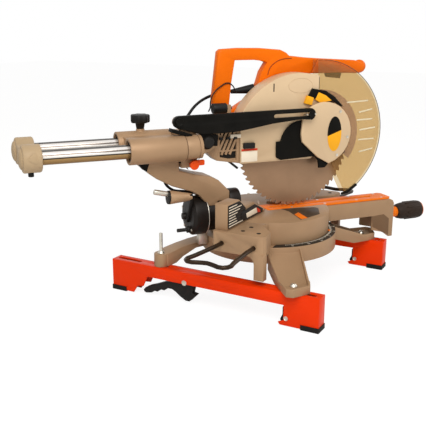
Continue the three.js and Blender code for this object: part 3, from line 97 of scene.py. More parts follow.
def coated(
    name, colour, roughness, metallic=0.0, grain=900.0, depth=0.12, mottle=16.0, spread=0.07, sheen=0.2,
):
    """A surface with fine grain, soft blotches in its colour and an uneven gloss."""
    made = bpy.data.materials.new(name)
    made.use_nodes = True
    nodes, links = made.node_tree.nodes, made.node_tree.links
    shader = nodes["Principled BSDF"]
    shader.inputs["Metallic"].default_value = metallic
    shader.inputs["Specular IOR Level"].default_value = sheen
    place = nodes.new("ShaderNodeTexCoord")
    blotch = nodes.new("ShaderNodeTexNoise")
    blotch.inputs["Scale"].default_value = mottle
    blotch.inputs["Detail"].default_value = 5
    ramp = nodes.new("ShaderNodeValToRGB")
    ramp.color_ramp.elements[0].position = 0.3
    ramp.color_ramp.elements[1].position = 0.7
    ramp.color_ramp.elements[0].color = (*[c * (1 - spread) for c in colour], 1)
    ramp.color_ramp.elements[1].color = (*[min(1, c * (1 + spread)) for c in colour], 1)
    gloss = nodes.new("ShaderNodeMapRange")
    gloss.inputs["To Min"].default_value = max(0.03, roughness - 0.07)
    gloss.inputs["To Max"].default_value = roughness + 0.08
    fine = nodes.new("ShaderNodeTexNoise")
    fine.inputs["Scale"].default_value = grain
    fine.inputs["Detail"].default_value = 3
    bump = nodes.new("ShaderNodeBump")
    bump.inputs["Strength"].default_value = depth
    bump.inputs["Distance"].default_value = 0.0005
    links.new(place.outputs["Object"], blotch.inputs["Vector"])
    links.new(place.outputs["Object"], fine.inputs["Vector"])
    links.new(blotch.outputs["Fac"], ramp.inputs["Fac"])
    links.new(ramp.outputs["Color"], shader.inputs["Base Color"])
    links.new(blotch.outputs["Fac"], gloss.inputs["Value"])
    links.new(gloss.outputs["Result"], shader.inputs["Roughness"])
    links.new(fine.outputs["Fac"], bump.inputs["Height"])
    links.new(bump.outputs["Normal"], shader.inputs["Normal"])
    return made


def dressed(node, finish, edge=0, smooth=32):
    """A copy of the solid with its seams welded and its edges rounded, on the solid's own body."""
    bpy.ops.object.select_all(action="DESELECT")
    source = frame["nodes"][node]
    piece = bpy.data.objects.new(node + "_shell", source.data.copy())
    bpy.context.scene.collection.objects.link(piece)
    piece.select_set(True)
    bpy.context.view_layer.objects.active = piece
    bpy.ops.mesh.customdata_custom_splitnormals_clear()
    bpy.ops.object.mode_set(mode="EDIT")
    bpy.ops.mesh.select_all(action="SELECT")
    bpy.ops.mesh.remove_doubles(threshold=0.00001)
    bpy.ops.mesh.dissolve_limited(angle_limit=math.radians(0.6))
    bpy.ops.object.mode_set(mode="OBJECT")
    if edge:
        rounding = piece.modifiers.new("edges", "BEVEL")
        rounding.width = edge
        rounding.segments = 2
        rounding.limit_method = "ANGLE"
        rounding.angle_limit = math.radians(38)
        rounding.use_clamp_overlap = False
        rounding.miter_outer = "MITER_ARC"
        bpy.ops.object.modifier_apply(modifier="edges")
    bpy.ops.object.shade_smooth_by_angle(angle=math.radians(smooth))
    piece.data.materials.clear()
    piece.data.materials.append(finish)
    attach(piece, source["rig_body"])
    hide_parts(node)
    return piece


def cable(name, points, radius, fineness, steps=12):
    """A round strand on a smooth curve through its points, closed at both ends."""
    line = bpy.data.curves.new(name, "CURVE")
    line.dimensions = "3D"
    line.bevel_depth = radius
    line.bevel_resolution = fineness
    line.use_fill_caps = True
    spline = line.splines.new("BEZIER")
    spline.bezier_points.add(len(points) - 1)
    spline.resolution_u = steps
    for knot, point in zip(spline.bezier_points, points):
        knot.co = point
        knot.handle_left_type = knot.handle_right_type = "AUTO"
    strand = bpy.data.objects.new(name, line)
    bpy.context.scene.collection.objects.link(strand)
    return strand


cord_rubber = coated("cord_rubber", (0.006, 0.006, 0.006), roughness=0.55, grain=1400, depth=0.08)
cord_radius = 0.0035
mm = 0.001
cord_drop = [
    (92, 120, 118), (92, 120, 106), (92.2, 120.2, 94), (92.4, 120.5, 82), (92.7, 121, 70),
    (93.2, 121.7, 58), (94.2, 122.5, 46), (96, 123.5, 34.5), (99.2, 124.7, 24), (104.5, 126, 15.2),
    (112, 127.2, 9), (121, 128, 5.4), (131, 128.4, 3.9), (142, 128.5, 3.5), (153.5, 128.5, 3.5),
]
coil_x, coil_y, coil_z, coil_outer, coil_pitch, layer_pitch = 154.1, 172.865, 3.5, 44.365, 8.8, 7.9
turns_a_layer, climb_turns, turn_steps, coil_tail = 1.875, 0.5, 24, 34
cord_line = [base_place @ (Vector(point) * mm) for point in cord_drop]
for step in range(1, int((2 * turns_a_layer + climb_turns) * turn_steps) + 1):
    turn = step / turn_steps
    climb = min(1, max(0, (turn - turns_a_layer) / climb_turns))
    wound = min(turn, turns_a_layer) - max(turn - turns_a_layer - climb_turns, 0)
    radius = coil_outer - wound * coil_pitch
    angle = turn * 2 * math.pi - math.pi / 2
    end_x, end_y = coil_x + radius * math.cos(angle), coil_y + radius * math.sin(angle)
    end_z = coil_z + climb * layer_pitch
    cord_line.append(base_place @ (Vector((end_x, end_y, end_z)) * mm))
for share in (0.25, 0.5, 0.75, 1):
    cord_line.append(base_place @ (Vector((end_x, end_y + coil_tail * share, end_z)) * mm))
mains_lead = cable("mains_lead", cord_line, cord_radius, fineness=4, steps=5)
mains_lead.data.materials.append(cord_rubber)
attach(mains_lead, "stand_and_base")
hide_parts("mains_cord", "cord_coil")
plug_plastic = coated("plug_plastic", (0.008, 0.008, 0.008), roughness=0.42, grain=700)
moulded_plug = dressed("plug", plug_plastic, edge=0.0005)

# Stand brackets: pressed steel channels, powder coated in glossy orange, standing on black rubber
# caps. A zinc bolt crosses each leg behind its black hook saddle.
powder_orange = coated(
    "powder_orange", (0.78, 0.036, 0.0003), roughness=0.3,
    grain=420, depth=0.1, mottle=9, spread=0.05, sheen=0.1,
)
cap_rubber = coated("cap_rubber", (0.007, 0.007, 0.006), roughness=0.7, grain=1100, depth=0.2)
zinc = coated(
    "zinc", (0.62, 0.58, 0.5), roughness=0.34, metallic=0.9, grain=1600, depth=0.1, mottle=60, spread=0.12,
)
bracket_reach = 0.2297
bracket_studs = (
    ("hook_bolt", (0.0188, -0.161, 0.020), {"radius": 0.0052, "height": 0.0032, "sides": 16}),
    ("pin_head", (0.0209, 0.096, 0.054), {"radius": 0.0066, "height": 0.0016, "sides": 20}),
)


def fitted(piece, name, place, body, finish, edge=0, smooth=35):
    """Sets a newly modelled piece down in its place, with rounded edges, and fixes it to a body."""
    bpy.ops.object.select_all(action="DESELECT")
    piece.name = piece.data.name = name
    piece.select_set(True)
    bpy.context.view_layer.objects.active = piece
    bpy.context.view_layer.update()
    piece.data.transform(place @ piece.matrix_world)
    piece.matrix_world = Matrix.Identity(4)
    bpy.ops.object.mode_set(mode="EDIT")
    bpy.ops.mesh.select_all(action="SELECT")
    bpy.ops.mesh.remove_doubles(threshold=0.000005)
    bpy.ops.mesh.normals_make_consistent(inside=False)
    bpy.ops.object.mode_set(mode="OBJECT")
    if edge:
        rounding = piece.modifiers.new("edges", "BEVEL")
        rounding.width = edge
        rounding.segments = 2
        rounding.limit_method = "ANGLE"
        rounding.angle_limit = math.radians(40)
        bpy.ops.object.modifier_apply(modifier="edges")
    bpy.ops.object.shade_smooth_by_angle(angle=math.radians(smooth))
    piece.data.materials.clear()
    piece.data.materials.append(finish)
    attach(piece, body)
    return piece


def stud(name, centre, along, place, body, finish, slot, radius, height, sides, edge=0.0004):
    """A bolt head, cap or pad: a short drum that faces along an axis, with an inset ring."""
    bpy.ops.mesh.primitive_cylinder_add(vertices=sides, radius=radius, depth=height, location=centre)
    piece = bpy.context.object
    piece.rotation_euler = Vector(along).to_track_quat("Z", "Y").to_euler()
    bpy.ops.object.mode_set(mode="EDIT")
    bpy.ops.mesh.select_mode(type="FACE")
    bpy.ops.mesh.select_all(action="DESELECT")
    bpy.ops.object.mode_set(mode="OBJECT")
    for face in piece.data.polygons:
        face.select = face.normal.z > 0.9
    bpy.ops.object.mode_set(mode="EDIT")
    bpy.ops.mesh.inset(thickness=radius * 0.3, depth=0)
    bpy.ops.mesh.inset(thickness=radius * 0.1, depth=-height * 0.25)
    bpy.ops.object.mode_set(mode="OBJECT")
    return fitted(piece, name, place, body, finish, edge)


for side, sign in (("left", -1), ("right", 1)):
    dressed(f"{side}_bracket", powder_orange, edge=0.0009)
    for end in ("front", "rear"):
        dressed(f"{side}_{end}_cap", cap_rubber, edge=0.0008)
        dressed(f"{end}_{side}_bolt", zinc, edge=0.0004)
    dressed(f"{side}_saddle", cap_rubber, edge=0.0008)
    for face in (-1, 1):
        for kind, (out, y, z), size in bracket_studs:
            centre = (sign * bracket_reach + face * out, y, z)
            stud(
                f"{side}_{kind}_{face + 1}", centre, (face, 0, 0), base_place, "stand_and_base",
                zinc, "zinc_steel", **size,
            )

# Quick release levers: glass filled nylon, black, with finger waves under the grip and a cam hook
# that closes on the stand's rail. Each turns on a pin across its bracket.
lever_nylon = coated(
    "lever_nylon", (0.010, 0.009, 0.008), roughness=0.48, grain=650, depth=0.22, mottle=40, spread=0.2,
)
for side in ("left", "right"):
    dressed(f"{side}_lever", lever_nylon, edge=0.0008, smooth=40)

# Base: one aluminium casting with a champagne paint. It has the ring under the turntable, a table
# block with its leg on each side, and four feet that the stand bolts pass through.
cast_paint = coated(
    "cast_paint", (0.365, 0.230, 0.130), roughness=0.42,
    metallic=0.15, grain=1300, depth=0.3, mottle=11, spread=0.08,
)
# Screw holes, the head arm's pocket, the guard's sight slot and the handle's screw wells are drawn near
# black: painted shade in those recesses.
hole_shade = coated("hole_shade", (0.010, 0.008, 0.006), roughness=0.7)
table_height = 0.1922
table_holes = [(0.2204, -0.0791), (0.1838, -0.0428), (0.2189, -0.0398)]
dressed("base", cast_paint, edge=0.0014)
for side, sign in (("left", -1), ("right", 1)):
    for count, (reach, y) in enumerate(table_holes):
        stud(
            f"{side}_table_screw_{count + 1}", (sign * reach, y, table_height), (0, 0, 1), base_place,
            "stand_and_base", hole_shade, "dark_casting", radius=0.0048, height=0.0008, sides=20, edge=0.0002,
        )

# Miter scale: a dark plate screwed on the ring, with a pale mark for each degree and a number at
# every fifteenth. The marks are printed on it.
scale_black = coated("scale_black", (0.016, 0.013, 0.010), roughness=0.45, metallic=0.2, grain=800)
mark_ink = coated("mark_ink", (0.72, 0.66, 0.55), roughness=0.5, grain=600)
scale_top, scale_reach, mark_inner, number_ring, number_size = 0.1409, 50, 0.1525, 0.1668, 0.0062
mark_width, mark_height, mark_lift = 0.0007, 0.0004, 0.0001
mark_long, mark_middle, mark_short = 0.0095, 0.0068, 0.0042
dressed("miter_scale", scale_black)
marks = []
for degree in range(-scale_reach, scale_reach + 1):
    reach = mark_long if degree % 15 == 0 else mark_middle if degree % 5 == 0 else mark_short
    middle = (0, -(mark_inner + reach / 2), scale_top + mark_lift)
    bpy.ops.mesh.primitive_cube_add(size=1, location=middle)
    tick = bpy.context.object
    tick.scale = (mark_width, reach, mark_height)
    bpy.context.view_layer.update()
    tick.data.transform(Matrix.Rotation(math.radians(degree), 4, "Z") @ tick.matrix_world)
    tick.matrix_world = Matrix.Identity(4)
    marks.append(tick)
for degree in (-45, -30, -15, 0, 15, 30, 45):
    bpy.ops.object.text_add(location=(0, 0, 0))
    number = bpy.context.object
    number.data.body = str(abs(degree))
    number.data.size = number_size
    number.data.extrude = mark_height / 2
    number.data.align_x = "CENTER"
    bpy.ops.object.convert(target="MESH")
    number = bpy.context.object
    turn = Matrix.Rotation(math.radians(degree), 4, "Z")
    number.data.transform(turn @ Matrix.Translation((0, -number_ring, scale_top + mark_lift)))
    marks.append(number)
bpy.ops.object.select_all(action="DESELECT")
for mark in marks:
    mark.select_set(True)
bpy.context.view_layer.objects.active = marks[0]
bpy.ops.object.join()
fitted(bpy.context.object, "scale_marks", base_place, "stand_and_base", mark_ink)

# Fences: painted castings that step up outwards and are screwed to the base. The left one carries
# a black face plate with pale level stripes and a plain cream tab with a red end.
face_black = coated("face_black", (0.008, 0.007, 0.006), roughness=0.5, grain=900, depth=0.2)
cream_ink = coated("cream_ink", (0.79, 0.70, 0.56), roughness=0.5, grain=500)
red_ink = coated("red_ink", (0.6, 0.035, 0.012), roughness=0.45, grain=500)
stripe_start, stripe_back, stripe_front = -0.2290, -0.01045, -0.00985
stripe_low, stripe_pitch, stripe_height = 0.1980, 0.0062, 0.0022
stripe_reaches = [0.066, 0.038, 0.034, 0.030, 0.040, 0.052, 0.060, 0.038]
label_push = (0, 0.0006, 0)
label_corners = ((-171, 200), (-168, 219), (-101, 224), (-56, 203), (-56, 195.5), (-147, 195.5))
tab_corners = ((-146, 211.5), (-93, 213.6), (-87, 200), (-141, 199.5))
tab_end_corners = ((-91, 213.2), (-73, 204.5), (-70, 197.5), (-85.5, 199.6))
fence_screw = (0.075, -0.0072, 0.2215)


def bar(name, low, high, place, body, finish, edge=0.0006, turn=None):
    """A small block between two corners, turned about its own middle if need be."""
    low, high = Vector(low), Vector(high)
    bpy.ops.mesh.primitive_cube_add(size=1, location=(low + high) / 2)
    piece = bpy.context.object
    piece.scale = high - low
    if turn:
        piece.rotation_euler = turn
    return fitted(piece, name, place, body, finish, edge)


def plate(name, outline, push, place, body, finish, edge=0.0002):
    """A thin plate with the given corners, pushed out to its thickness."""
    bpy.ops.mesh.primitive_circle_add(vertices=len(outline), radius=1, fill_type="NGON")
    piece = bpy.context.object
    for corner, point in zip(piece.data.vertices, outline):
        corner.co = point
    bpy.ops.object.mode_set(mode="EDIT")
    bpy.ops.mesh.select_all(action="SELECT")
    bpy.ops.mesh.extrude_region_move(TRANSFORM_OT_translate={"value": push})
    bpy.ops.object.mode_set(mode="OBJECT")
    return fitted(piece, name, place, body, finish, edge)


dressed("left_fence", cast_paint, edge=0.0012)
dressed("right_fence", cast_paint, edge=0.0012)
dressed("left_fence_face", face_black, edge=0.0003)
for count, reach in enumerate(stripe_reaches):
    low = (stripe_start, stripe_back, stripe_low + count * stripe_pitch)
    high = (stripe_start + reach, stripe_front, stripe_low + count * stripe_pitch + stripe_height)
    bar(
        f"fence_stripe_{count + 1}", low, high, base_place, "stand_and_base", cream_ink,
        edge=0.0001,
    )
for name, corners, y, finish, slot in (
    ("fence_label", label_corners, -0.0103, face_black, "black_plastic"),
    ("fence_tab", tab_corners, -0.0108, cream_ink, "scale_plate"),
    ("fence_tab_end", tab_end_corners, -0.0108, red_ink, "orange_paint"),
):
    outline = [(x * mm, y, z * mm) for x, z in corners]
    plate(name, outline, label_push, base_place, "stand_and_base", finish)
for side, sign in (("left", -1), ("right", 1)):
    centre = (sign * fence_screw[0], fence_screw[1], fence_screw[2])
    stud(
        f"{side}_fence_screw", centre, (0, -1, 0), base_place, "stand_and_base", zinc, "zinc_steel",
        radius=0.0045, height=0.0018, sides=20,
    )

# Extension wires: steel rod bent to a loop and lacquered dark bronze. Their legs slide in the
# bosses of the table blocks.
wire_lacquer = coated(
    "wire_lacquer", (0.030, 0.017, 0.009), roughness=0.3,
    metallic=0.5, grain=500, depth=0.08, mottle=45, spread=0.3,
)
dressed("left_wire", wire_lacquer, smooth=60)
dressed("right_wire", wire_lacquer, smooth=60)

# Turntable: a painted casting with a machined top, turned to the right with the saw on it. All
# that it carries is modelled square to the fence and then turned. Plates are screwed on its top.
saw_place = base_place @ Matrix.Rotation(math.radians(51.7), 4, "Z")
wedge_dark = coated(
    "wedge_dark", (0.050, 0.032, 0.020), roughness=0.5, metallic=0.1, grain=700, mottle=60, spread=0.4,
)
kerf_plastic = coated(
    "kerf_plastic", (0.84, 0.175, 0.006), roughness=0.42, grain=800, depth=0.12, spread=0.05, sheen=0.1,
)
painted_shade_brown = coated("painted_shade_brown", (0.155, 0.088, 0.045), roughness=0.55, grain=1300)
kerf_screw_rows, kerf_screw_reach, kerf_top = (-0.055, -0.150, -0.245, -0.322), 0.0195, 0.1921
wedge_push = (0, 0, 0.0006)
wedge_corners = ((-27, -20), (-59, -26.5), (-134, -17), (-106, -84), (-55, -110), (-45, -105))
wedge_mark_corners = ((-88, -24.5), (-131, -20), (-126, -39), (-74, -43))
arm_shade = [(-0.290, 0.1450), (-0.3262, 0.1475), (-0.343, 0.134), (-0.344, 0.088), (-0.292, 0.116)]


def side_plate(name, x, corners, body, finish, thickness, edge=0.0002):
    """A plate that faces the saw's left, with its corners seen from there."""
    outline = [(x, y, z) for y, z in corners]
    return plate(name, outline, (thickness, 0, 0), saw_place, body, finish, edge)


dressed("turntable", cast_paint, edge=0.0014)
dressed("kerf_plate", kerf_plastic, edge=0.0006)
for row, y in enumerate(kerf_screw_rows):
    for count, side in enumerate((-1, 1)):
        stud(
            f"kerf_screw_{row * 2 + count + 1}", (side * kerf_screw_reach, y, kerf_top), (0, 0, 1), saw_place,
            "turntable", zinc, "zinc_steel", radius=0.0036, height=0.0007, sides=16, edge=0.0001,
        )
# A dark wedge with an orange mark lies on the top beside the arm's root.
for name, corners, z, finish, slot in (
    ("table_wedge", wedge_corners, 0.1917, wedge_dark, "scale_plate"),
    ("table_wedge_mark", wedge_mark_corners, 0.1920, kerf_plastic, "orange_plastic"),
):
    outline = [(x * mm, y * mm, z) for x, y in corners]
    plate(name, outline, wedge_push, saw_place, "turntable", finish)
# A dark plate on the near face of the front arm's drop is painted shade over that recessed face.
side_plate("arm_shade", -0.0304, arm_shade, "turntable", painted_shade_brown, thickness=0.0008)
dressed("miter_pointer", kerf_plastic, edge=0.0003)
dressed("lock_collar", kerf_plastic, edge=0.0008)

# Miter handle: a barrel of soft brown black rubber on the lock rod, with ten ribs for the fingers
# and a pressed in orange cap.
grip_rubber = coated(
    "grip_rubber", (0.022, 0.012, 0.007), roughness=0.58, grain=520, depth=0.35, mottle=30, spread=0.18,
)
handle_z, handle_end, handle_ribs, rib_ring = 0.142, -0.4622, 10, 0.0232
rib_wide, rib_tall, rib_near, rib_far = 0.0013, 0.0022, -0.449, -0.411


def dome(name, centre, body, finish, radius, stretch, sides):
    """A round cap: a ball that is drawn out or flattened along the three axes."""
    bpy.ops.mesh.primitive_uv_sphere_add(
        segments=sides, ring_count=sides // 2, radius=radius, location=centre,
    )
    ball = bpy.context.object
    ball.scale = stretch
    return fitted(ball, name, saw_place, body, finish, smooth=60)


dressed("miter_handle", grip_rubber, edge=0.0006, smooth=50)
dome(
    "miter_handle_cap", (0, handle_end, handle_z), "miter_handle", kerf_plastic,
    radius=0.021, stretch=(1, 0.22, 1), sides=32,
)
for count in range(handle_ribs):
    angle = count * 2 * math.pi / handle_ribs
    x, z = rib_ring * math.cos(angle), handle_z + rib_ring * math.sin(angle)
    low, high = (x - rib_wide, rib_near, z - rib_tall), (x + rib_wide, rib_far, z + rib_tall)
    bar(
        f"handle_rib_{count + 1}", low, high, saw_place, "miter_handle", grip_rubber,
        turn=(0, -angle, 0),
    )

# Bevel pivot: the dark housing on the turntable's rear and the black barrel behind it, with a
# bright rim, screws and a cast lug. The arm's casting swings on it.
dark_paint = coated(
    "dark_paint", (0.014, 0.011, 0.009), roughness=0.4,
    metallic=0.2, grain=900, depth=0.25, mottle=35, spread=0.3,
)
bevel_z, disc_ring, disc_face = 0.192, 0.0385, 0.2163
facing_rear, facing_side = (math.pi / 2, 0, 0), (0, math.pi / 2, 0)


def hoop(name, centre, facing, body, finish, radius, thickness, sides):
    """A round bead or seal: a ring that faces along an axis, with its sides around and across."""
    bpy.ops.mesh.primitive_torus_add(
        major_radius=radius, minor_radius=thickness, major_segments=sides[0], minor_segments=sides[1],
        location=centre, rotation=facing,
    )
    return fitted(bpy.context.object, name, saw_place, body, finish, smooth=60)


dressed("bevel_pivot_bolt", dark_paint, edge=0.0006)
dressed("bevel_barrel", dark_paint, edge=0.0006)
hoop(
    "bevel_rim", (0, 0.1785, bevel_z), facing_rear, "bevel_arm", zinc,
    radius=0.0466, thickness=0.0011, sides=(72, 10),
)
bar(
    "disc_lug", (-0.0130, 0.1700, 0.1200), (0.0030, 0.1930, 0.1490), saw_place, "bevel_arm", zinc,
    edge=0.0020,
)
for count, degree in enumerate((20, 68, 112, 230, 310)):
    angle = math.radians(degree)
    centre = (disc_ring * math.cos(angle), disc_face, bevel_z + disc_ring * math.sin(angle))
    stud(
        f"disc_screw_{count + 1}", centre, (0, 1, 0), saw_place, "bevel_arm", zinc, "zinc_steel",
        radius=0.0034, height=0.0016, sides=16, edge=0.0002,
    )

# Bevel arm: the painted swan neck that carries the rail housing, a pair of joined tubes bored for
# the rails with black wipers pressed in their mouths.
rail_x, rail_z, housing_mouth = 0.0517, 0.3654, 0.3640
wiper_felt = coated("wiper_felt", (0.008, 0.007, 0.006), roughness=0.9, grain=1500, depth=0.5)
dressed("bevel_arm", cast_paint, edge=0.0012, smooth=40)
for side, x in (("left", -rail_x), ("right", rail_x)):
    hoop(
        f"{side}_rail_wiper", (x, housing_mouth, rail_z), facing_rear, "bevel_arm", wiper_felt,
        radius=0.0196, thickness=0.0035, sides=(48, 10),
    )

# Bevel lock handle: a tapered barrel of champagne plastic on a black crank, with a black ring and a
# grey tip at its wide end. The detent's pull pin sits below it.
barrel_plastic = coated(
    "barrel_plastic", (0.42, 0.27, 0.155), roughness=0.3, metallic=0.2, grain=700, depth=0.08,
)
crank_end, barrel_x, barrel_lean, tip_lean = 0.2728, -0.030, math.pi / 2 + 0.073, math.pi / 2 + 0.235


def drum(name, centre, body, finish, radius, length, sides, edge, lean=0):
    """A plain round peg or ring, leaning back from upright."""
    bpy.ops.mesh.primitive_cylinder_add(
        vertices=sides, radius=radius, depth=length, location=centre, rotation=(lean, 0, 0),
    )
    return fitted(bpy.context.object, name, saw_place, body, finish, edge)


dressed("bevel_handle", lever_nylon, edge=0.0005)
bpy.ops.object.mode_set(mode="EDIT")
bpy.ops.mesh.select_all(action="SELECT")
bpy.ops.mesh.bisect(
    plane_co=saw_place @ Vector((0, crank_end, 0)), plane_no=saw_place.to_3x3() @ Vector((0, 1, 0)),
    use_fill=True, clear_outer=True,
)
bpy.ops.object.mode_set(mode="OBJECT")
bpy.ops.mesh.primitive_cone_add(
    vertices=40, radius1=0.0164, radius2=0.0084, depth=0.0550, location=(barrel_x, 0.2449, 0.2471),
    rotation=(barrel_lean, 0, 0),
)
fitted(
    bpy.context.object, "bevel_handle_barrel", saw_place, "bevel_handle", barrel_plastic,
    edge=0.0006,
)
drum(
    "bevel_handle_ring", (barrel_x, 0.2738, 0.2492), "bevel_handle", lever_nylon,
    radius=0.0158, length=0.0050, sides=40, edge=0.0012, lean=barrel_lean,
)
drum(
    "bevel_handle_tip", (barrel_x, 0.2900, 0.2606), "bevel_handle", zinc,
    radius=0.0062, length=0.038, sides=32, edge=0.0012, lean=tip_lean,
)
dressed("bevel_detent_pin", lever_nylon, edge=0.0006)

# Rail clamp knob and the lead along the arm: a lobed black knob on its stem, and a rubber lead
# that runs down the far side of the neck.
dressed("rail_knob", lever_nylon, edge=0.0009, smooth=40)
dressed("arm_lead", cord_rubber, smooth=60)

# Rails: two hard chromed steel bars, ground along their length, that slide in the arm's housing.
# Bands of tone along them, set by height, are a painted reflection of what such a bar mirrors.
rail_chrome = coated(
    "rail_chrome", (0.80, 0.75, 0.68), roughness=0.16,
    metallic=0.45, grain=300, depth=0, mottle=20, spread=0.1,
)
rail_radius = 0.0155
reflection_low, reflection_high = (0.10, 0.05, 0.02, 1), (0.05, 0.045, 0.04, 1)
reflection_bands = (
    (0.08, (0.26, 0.15, 0.055, 1)), (0.42, (0.38, 0.24, 0.10, 1)), (0.45, (0.03, 0.02, 0.015, 1)),
    (0.51, (0.05, 0.04, 0.03, 1)), (0.55, (0.80, 0.77, 0.73, 1)), (0.64, (0.82, 0.79, 0.75, 1)),
    (0.68, (0.10, 0.08, 0.07, 1)), (0.75, (0.16, 0.13, 0.11, 1)), (0.79, (0.78, 0.75, 0.72, 1)),
    (0.90, (0.80, 0.77, 0.74, 1)), (0.94, (0.12, 0.11, 0.10, 1)),
)
# Colour by height on the rail: a painted reflection, with a warm lower half, dark lines and white bands.
nodes, links = rail_chrome.node_tree.nodes, rail_chrome.node_tree.links
spot = next(node for node in nodes if node.type == "TEX_COORD")
split = nodes.new("ShaderNodeSeparateXYZ")
height = nodes.new("ShaderNodeMapRange")
height.inputs["From Min"].default_value = rail_z - rail_radius
height.inputs["From Max"].default_value = rail_z + rail_radius
bands = nodes.new("ShaderNodeValToRGB")
bands.color_ramp.elements[0].color = reflection_low
bands.color_ramp.elements[1].color = reflection_high
for where, tone in reflection_bands:
    bands.color_ramp.elements.new(where).color = tone
links.new(spot.outputs["Object"], split.inputs["Vector"])
links.new(split.outputs["Z"], height.inputs["Value"])
links.new(height.outputs["Result"], bands.inputs["Fac"])
links.new(bands.outputs["Color"], nodes["Principled BSDF"].inputs["Base Color"])
dressed("left_rail", rail_chrome, edge=0.0006, smooth=50)
dressed("right_rail", rail_chrome, edge=0.0006, smooth=50)

# Rear cap: a sand coloured moulding that ties the rails' ends, with a domed end on each rail and a
# raised panel on its side. A black rubber stop is screwed on below the near rail.
cap_plastic = coated(
    "cap_plastic", (0.44, 0.32, 0.19), roughness=0.46, grain=800, depth=0.12, mottle=18, spread=0.06,
)
cap_end = 0.5990
cap_panel = [
    (0.5887, 0.3656), (0.5866, 0.3734), (0.5785, 0.3807), (0.5724, 0.3803), (0.5691, 0.3610),
    (0.5739, 0.3582),
]
dressed("rear_cap", cap_plastic, edge=0.0008, smooth=40)
for side, x in (("left", -rail_x), ("right", rail_x)):
    dome(
        f"{side}_cap_dome", (x, cap_end, rail_z), "carriage", cap_plastic,
        radius=0.0228, stretch=(1, 0.34, 1), sides=40,
    )
side_plate(
    "cap_panel", -0.0822, cap_panel, "carriage", cap_plastic, thickness=0.003,
    edge=0.0006,
)
drum(
    "rail_stop", (-0.0560, 0.5820, 0.3350), "carriage", cap_rubber,
    radius=0.0060, length=0.014, sides=28, edge=0.0010,
)

# Front block: a painted casting on the rails' front ends, with two turned steps, and the ears of
# the chop hinge. The orange knob below it pulls the hold-down pin.
cover_black = coated(
    "cover_black", (0.0045, 0.004, 0.003), roughness=0.4,
    grain=600, depth=0.12, mottle=30, spread=0.2, sheen=0.08,
)
step_shade_paint = coated("step_shade_paint", (0.13, 0.075, 0.038), roughness=0.5, grain=900)
hold_orange = coated("hold_orange", (0.84, 0.075, 0.002), roughness=0.36, grain=700)
hinge_cover = [(0.2016, 0.3963), (0.1565, 0.3902), (0.1584, 0.3638), (0.1886, 0.3657), (0.1998, 0.3805)]
block_wedge = [(0.2549, 0.3335), (0.2381, 0.3341), (0.2234, 0.3096), (0.2345, 0.3212)]
neck_wedge = [(0.3459, 0.3344), (0.3169, 0.3329), (0.3246, 0.3128), (0.3336, 0.3188)]
dressed("front_block", cast_paint, edge=0.0010, smooth=40)
# A thin ring in a darker copy of the paint marks each turned step: painted shade along its edge.
for count, y in enumerate((0.2120, 0.2420)):
    hoop(
        f"block_step_{count + 1}", (-rail_x, y, rail_z), facing_rear, "carriage", step_shade_paint,
        radius=0.0287, thickness=0.0005, sides=(64, 8),
    )
dressed("pivot_shaft", lever_nylon, edge=0.0008)
dressed("hold_down_knob", hold_orange, edge=0.0012)
bar(
    "hold_down_face", (-0.0480, 0.1900, 0.3215), (-0.0400, 0.2190, 0.3345), saw_place, "hold_down",
    hold_orange, edge=0.0030,
)
bar(
    "block_bracket", (-0.0600, 0.2240, 0.3955), (-0.0360, 0.2740, 0.4035), saw_place, "carriage",
    cover_black, edge=0.0008, turn=(0.30, 0, 0),
)
for name, x, corners, body, thickness, edge in (
    ("hinge_cover", -0.0475, hinge_cover, "carriage", 0.010, 0.0015),
    ("block_wedge", -0.0310, block_wedge, "carriage", 0.012, 0.0006),
    ("neck_wedge", -0.0306, neck_wedge, "bevel_arm", 0.012, 0.0006),
):
    side_plate(name, x, corners, body, cover_black, thickness, edge)

# Link arm: pressed steel under black lacquer, pivoted on the carriage. Its slot takes the guard's
# pin, and a round cap covers each end.
link_black = coated(
    "link_black", (0.0045, 0.004, 0.003), roughness=0.34,
    grain=260, depth=0.12, mottle=26, spread=0.35, sheen=0.1,
)
link_studs = (
    (0.254, 0.424, 0.0062, dark_paint), (-0.0680, 0.4268, 0.0021, zinc), (-0.0905, 0.4270, 0.0021, zinc),
)
link_face, to_left = -0.0572, (-1, 0, 0)
dressed("link_arm", link_black, edge=0.0007)
for count, (y, z, radius, finish) in enumerate(link_studs):
    stud(
        f"link_stud_{count + 1}", (link_face, y, z), to_left, saw_place, "link", finish, "zinc_steel",
        radius=radius, height=0.0026, sides=20, edge=0.0002,
    )
stud(
    "link_cap", (-0.0616, 0.2548, 0.4246), to_left, saw_place, "carriage", link_black, "black_steel",
    radius=0.0094, height=0.0026, sides=28,
)
stud(
    "pin_cap", (-0.0602, -0.0787, 0.4270), to_left, saw_place, "head", link_black, "black_steel",
    radius=0.0078, height=0.0020, sides=24,
)

# Head arm: a ribbed casting between the chop hinge and the guard. Its pocket is backed by a dark
# sheet of painted shade, crossed by slanting ribs, with a cream cover plate over it and the spring's
# black pin below.
rib_count, rib_first, rib_pitch, rib_half, rib_lean = 5, 0.145, 0.0105, 0.0028, 0.42
rib_face, rib_low, rib_high, pocket_face = -0.0212, 0.334, 0.402, -0.0163
dressed("head_arm", cast_paint, edge=0.0010)
bar(
    "arm_pocket_back", (-0.0167, 0.1000, 0.3270), (-0.0161, 0.1490, 0.4040), saw_place, "head",
    hole_shade, edge=0.0001,
)
for count in range(rib_count):
    y = rib_first - count * rib_pitch
    bar(
        f"arm_rib_{count + 1}", (rib_face, y - rib_half, rib_low), (pocket_face, y + rib_half, rib_high),
        saw_place, "head", cast_paint, edge=0.0005, turn=(rib_lean, 0, 0),
    )
bar(
    "arm_shelf", (-0.0208, 0.0990, 0.3440), (pocket_face, 0.1500, 0.3480), saw_place, "head",
    cast_paint, edge=0.0005,
)
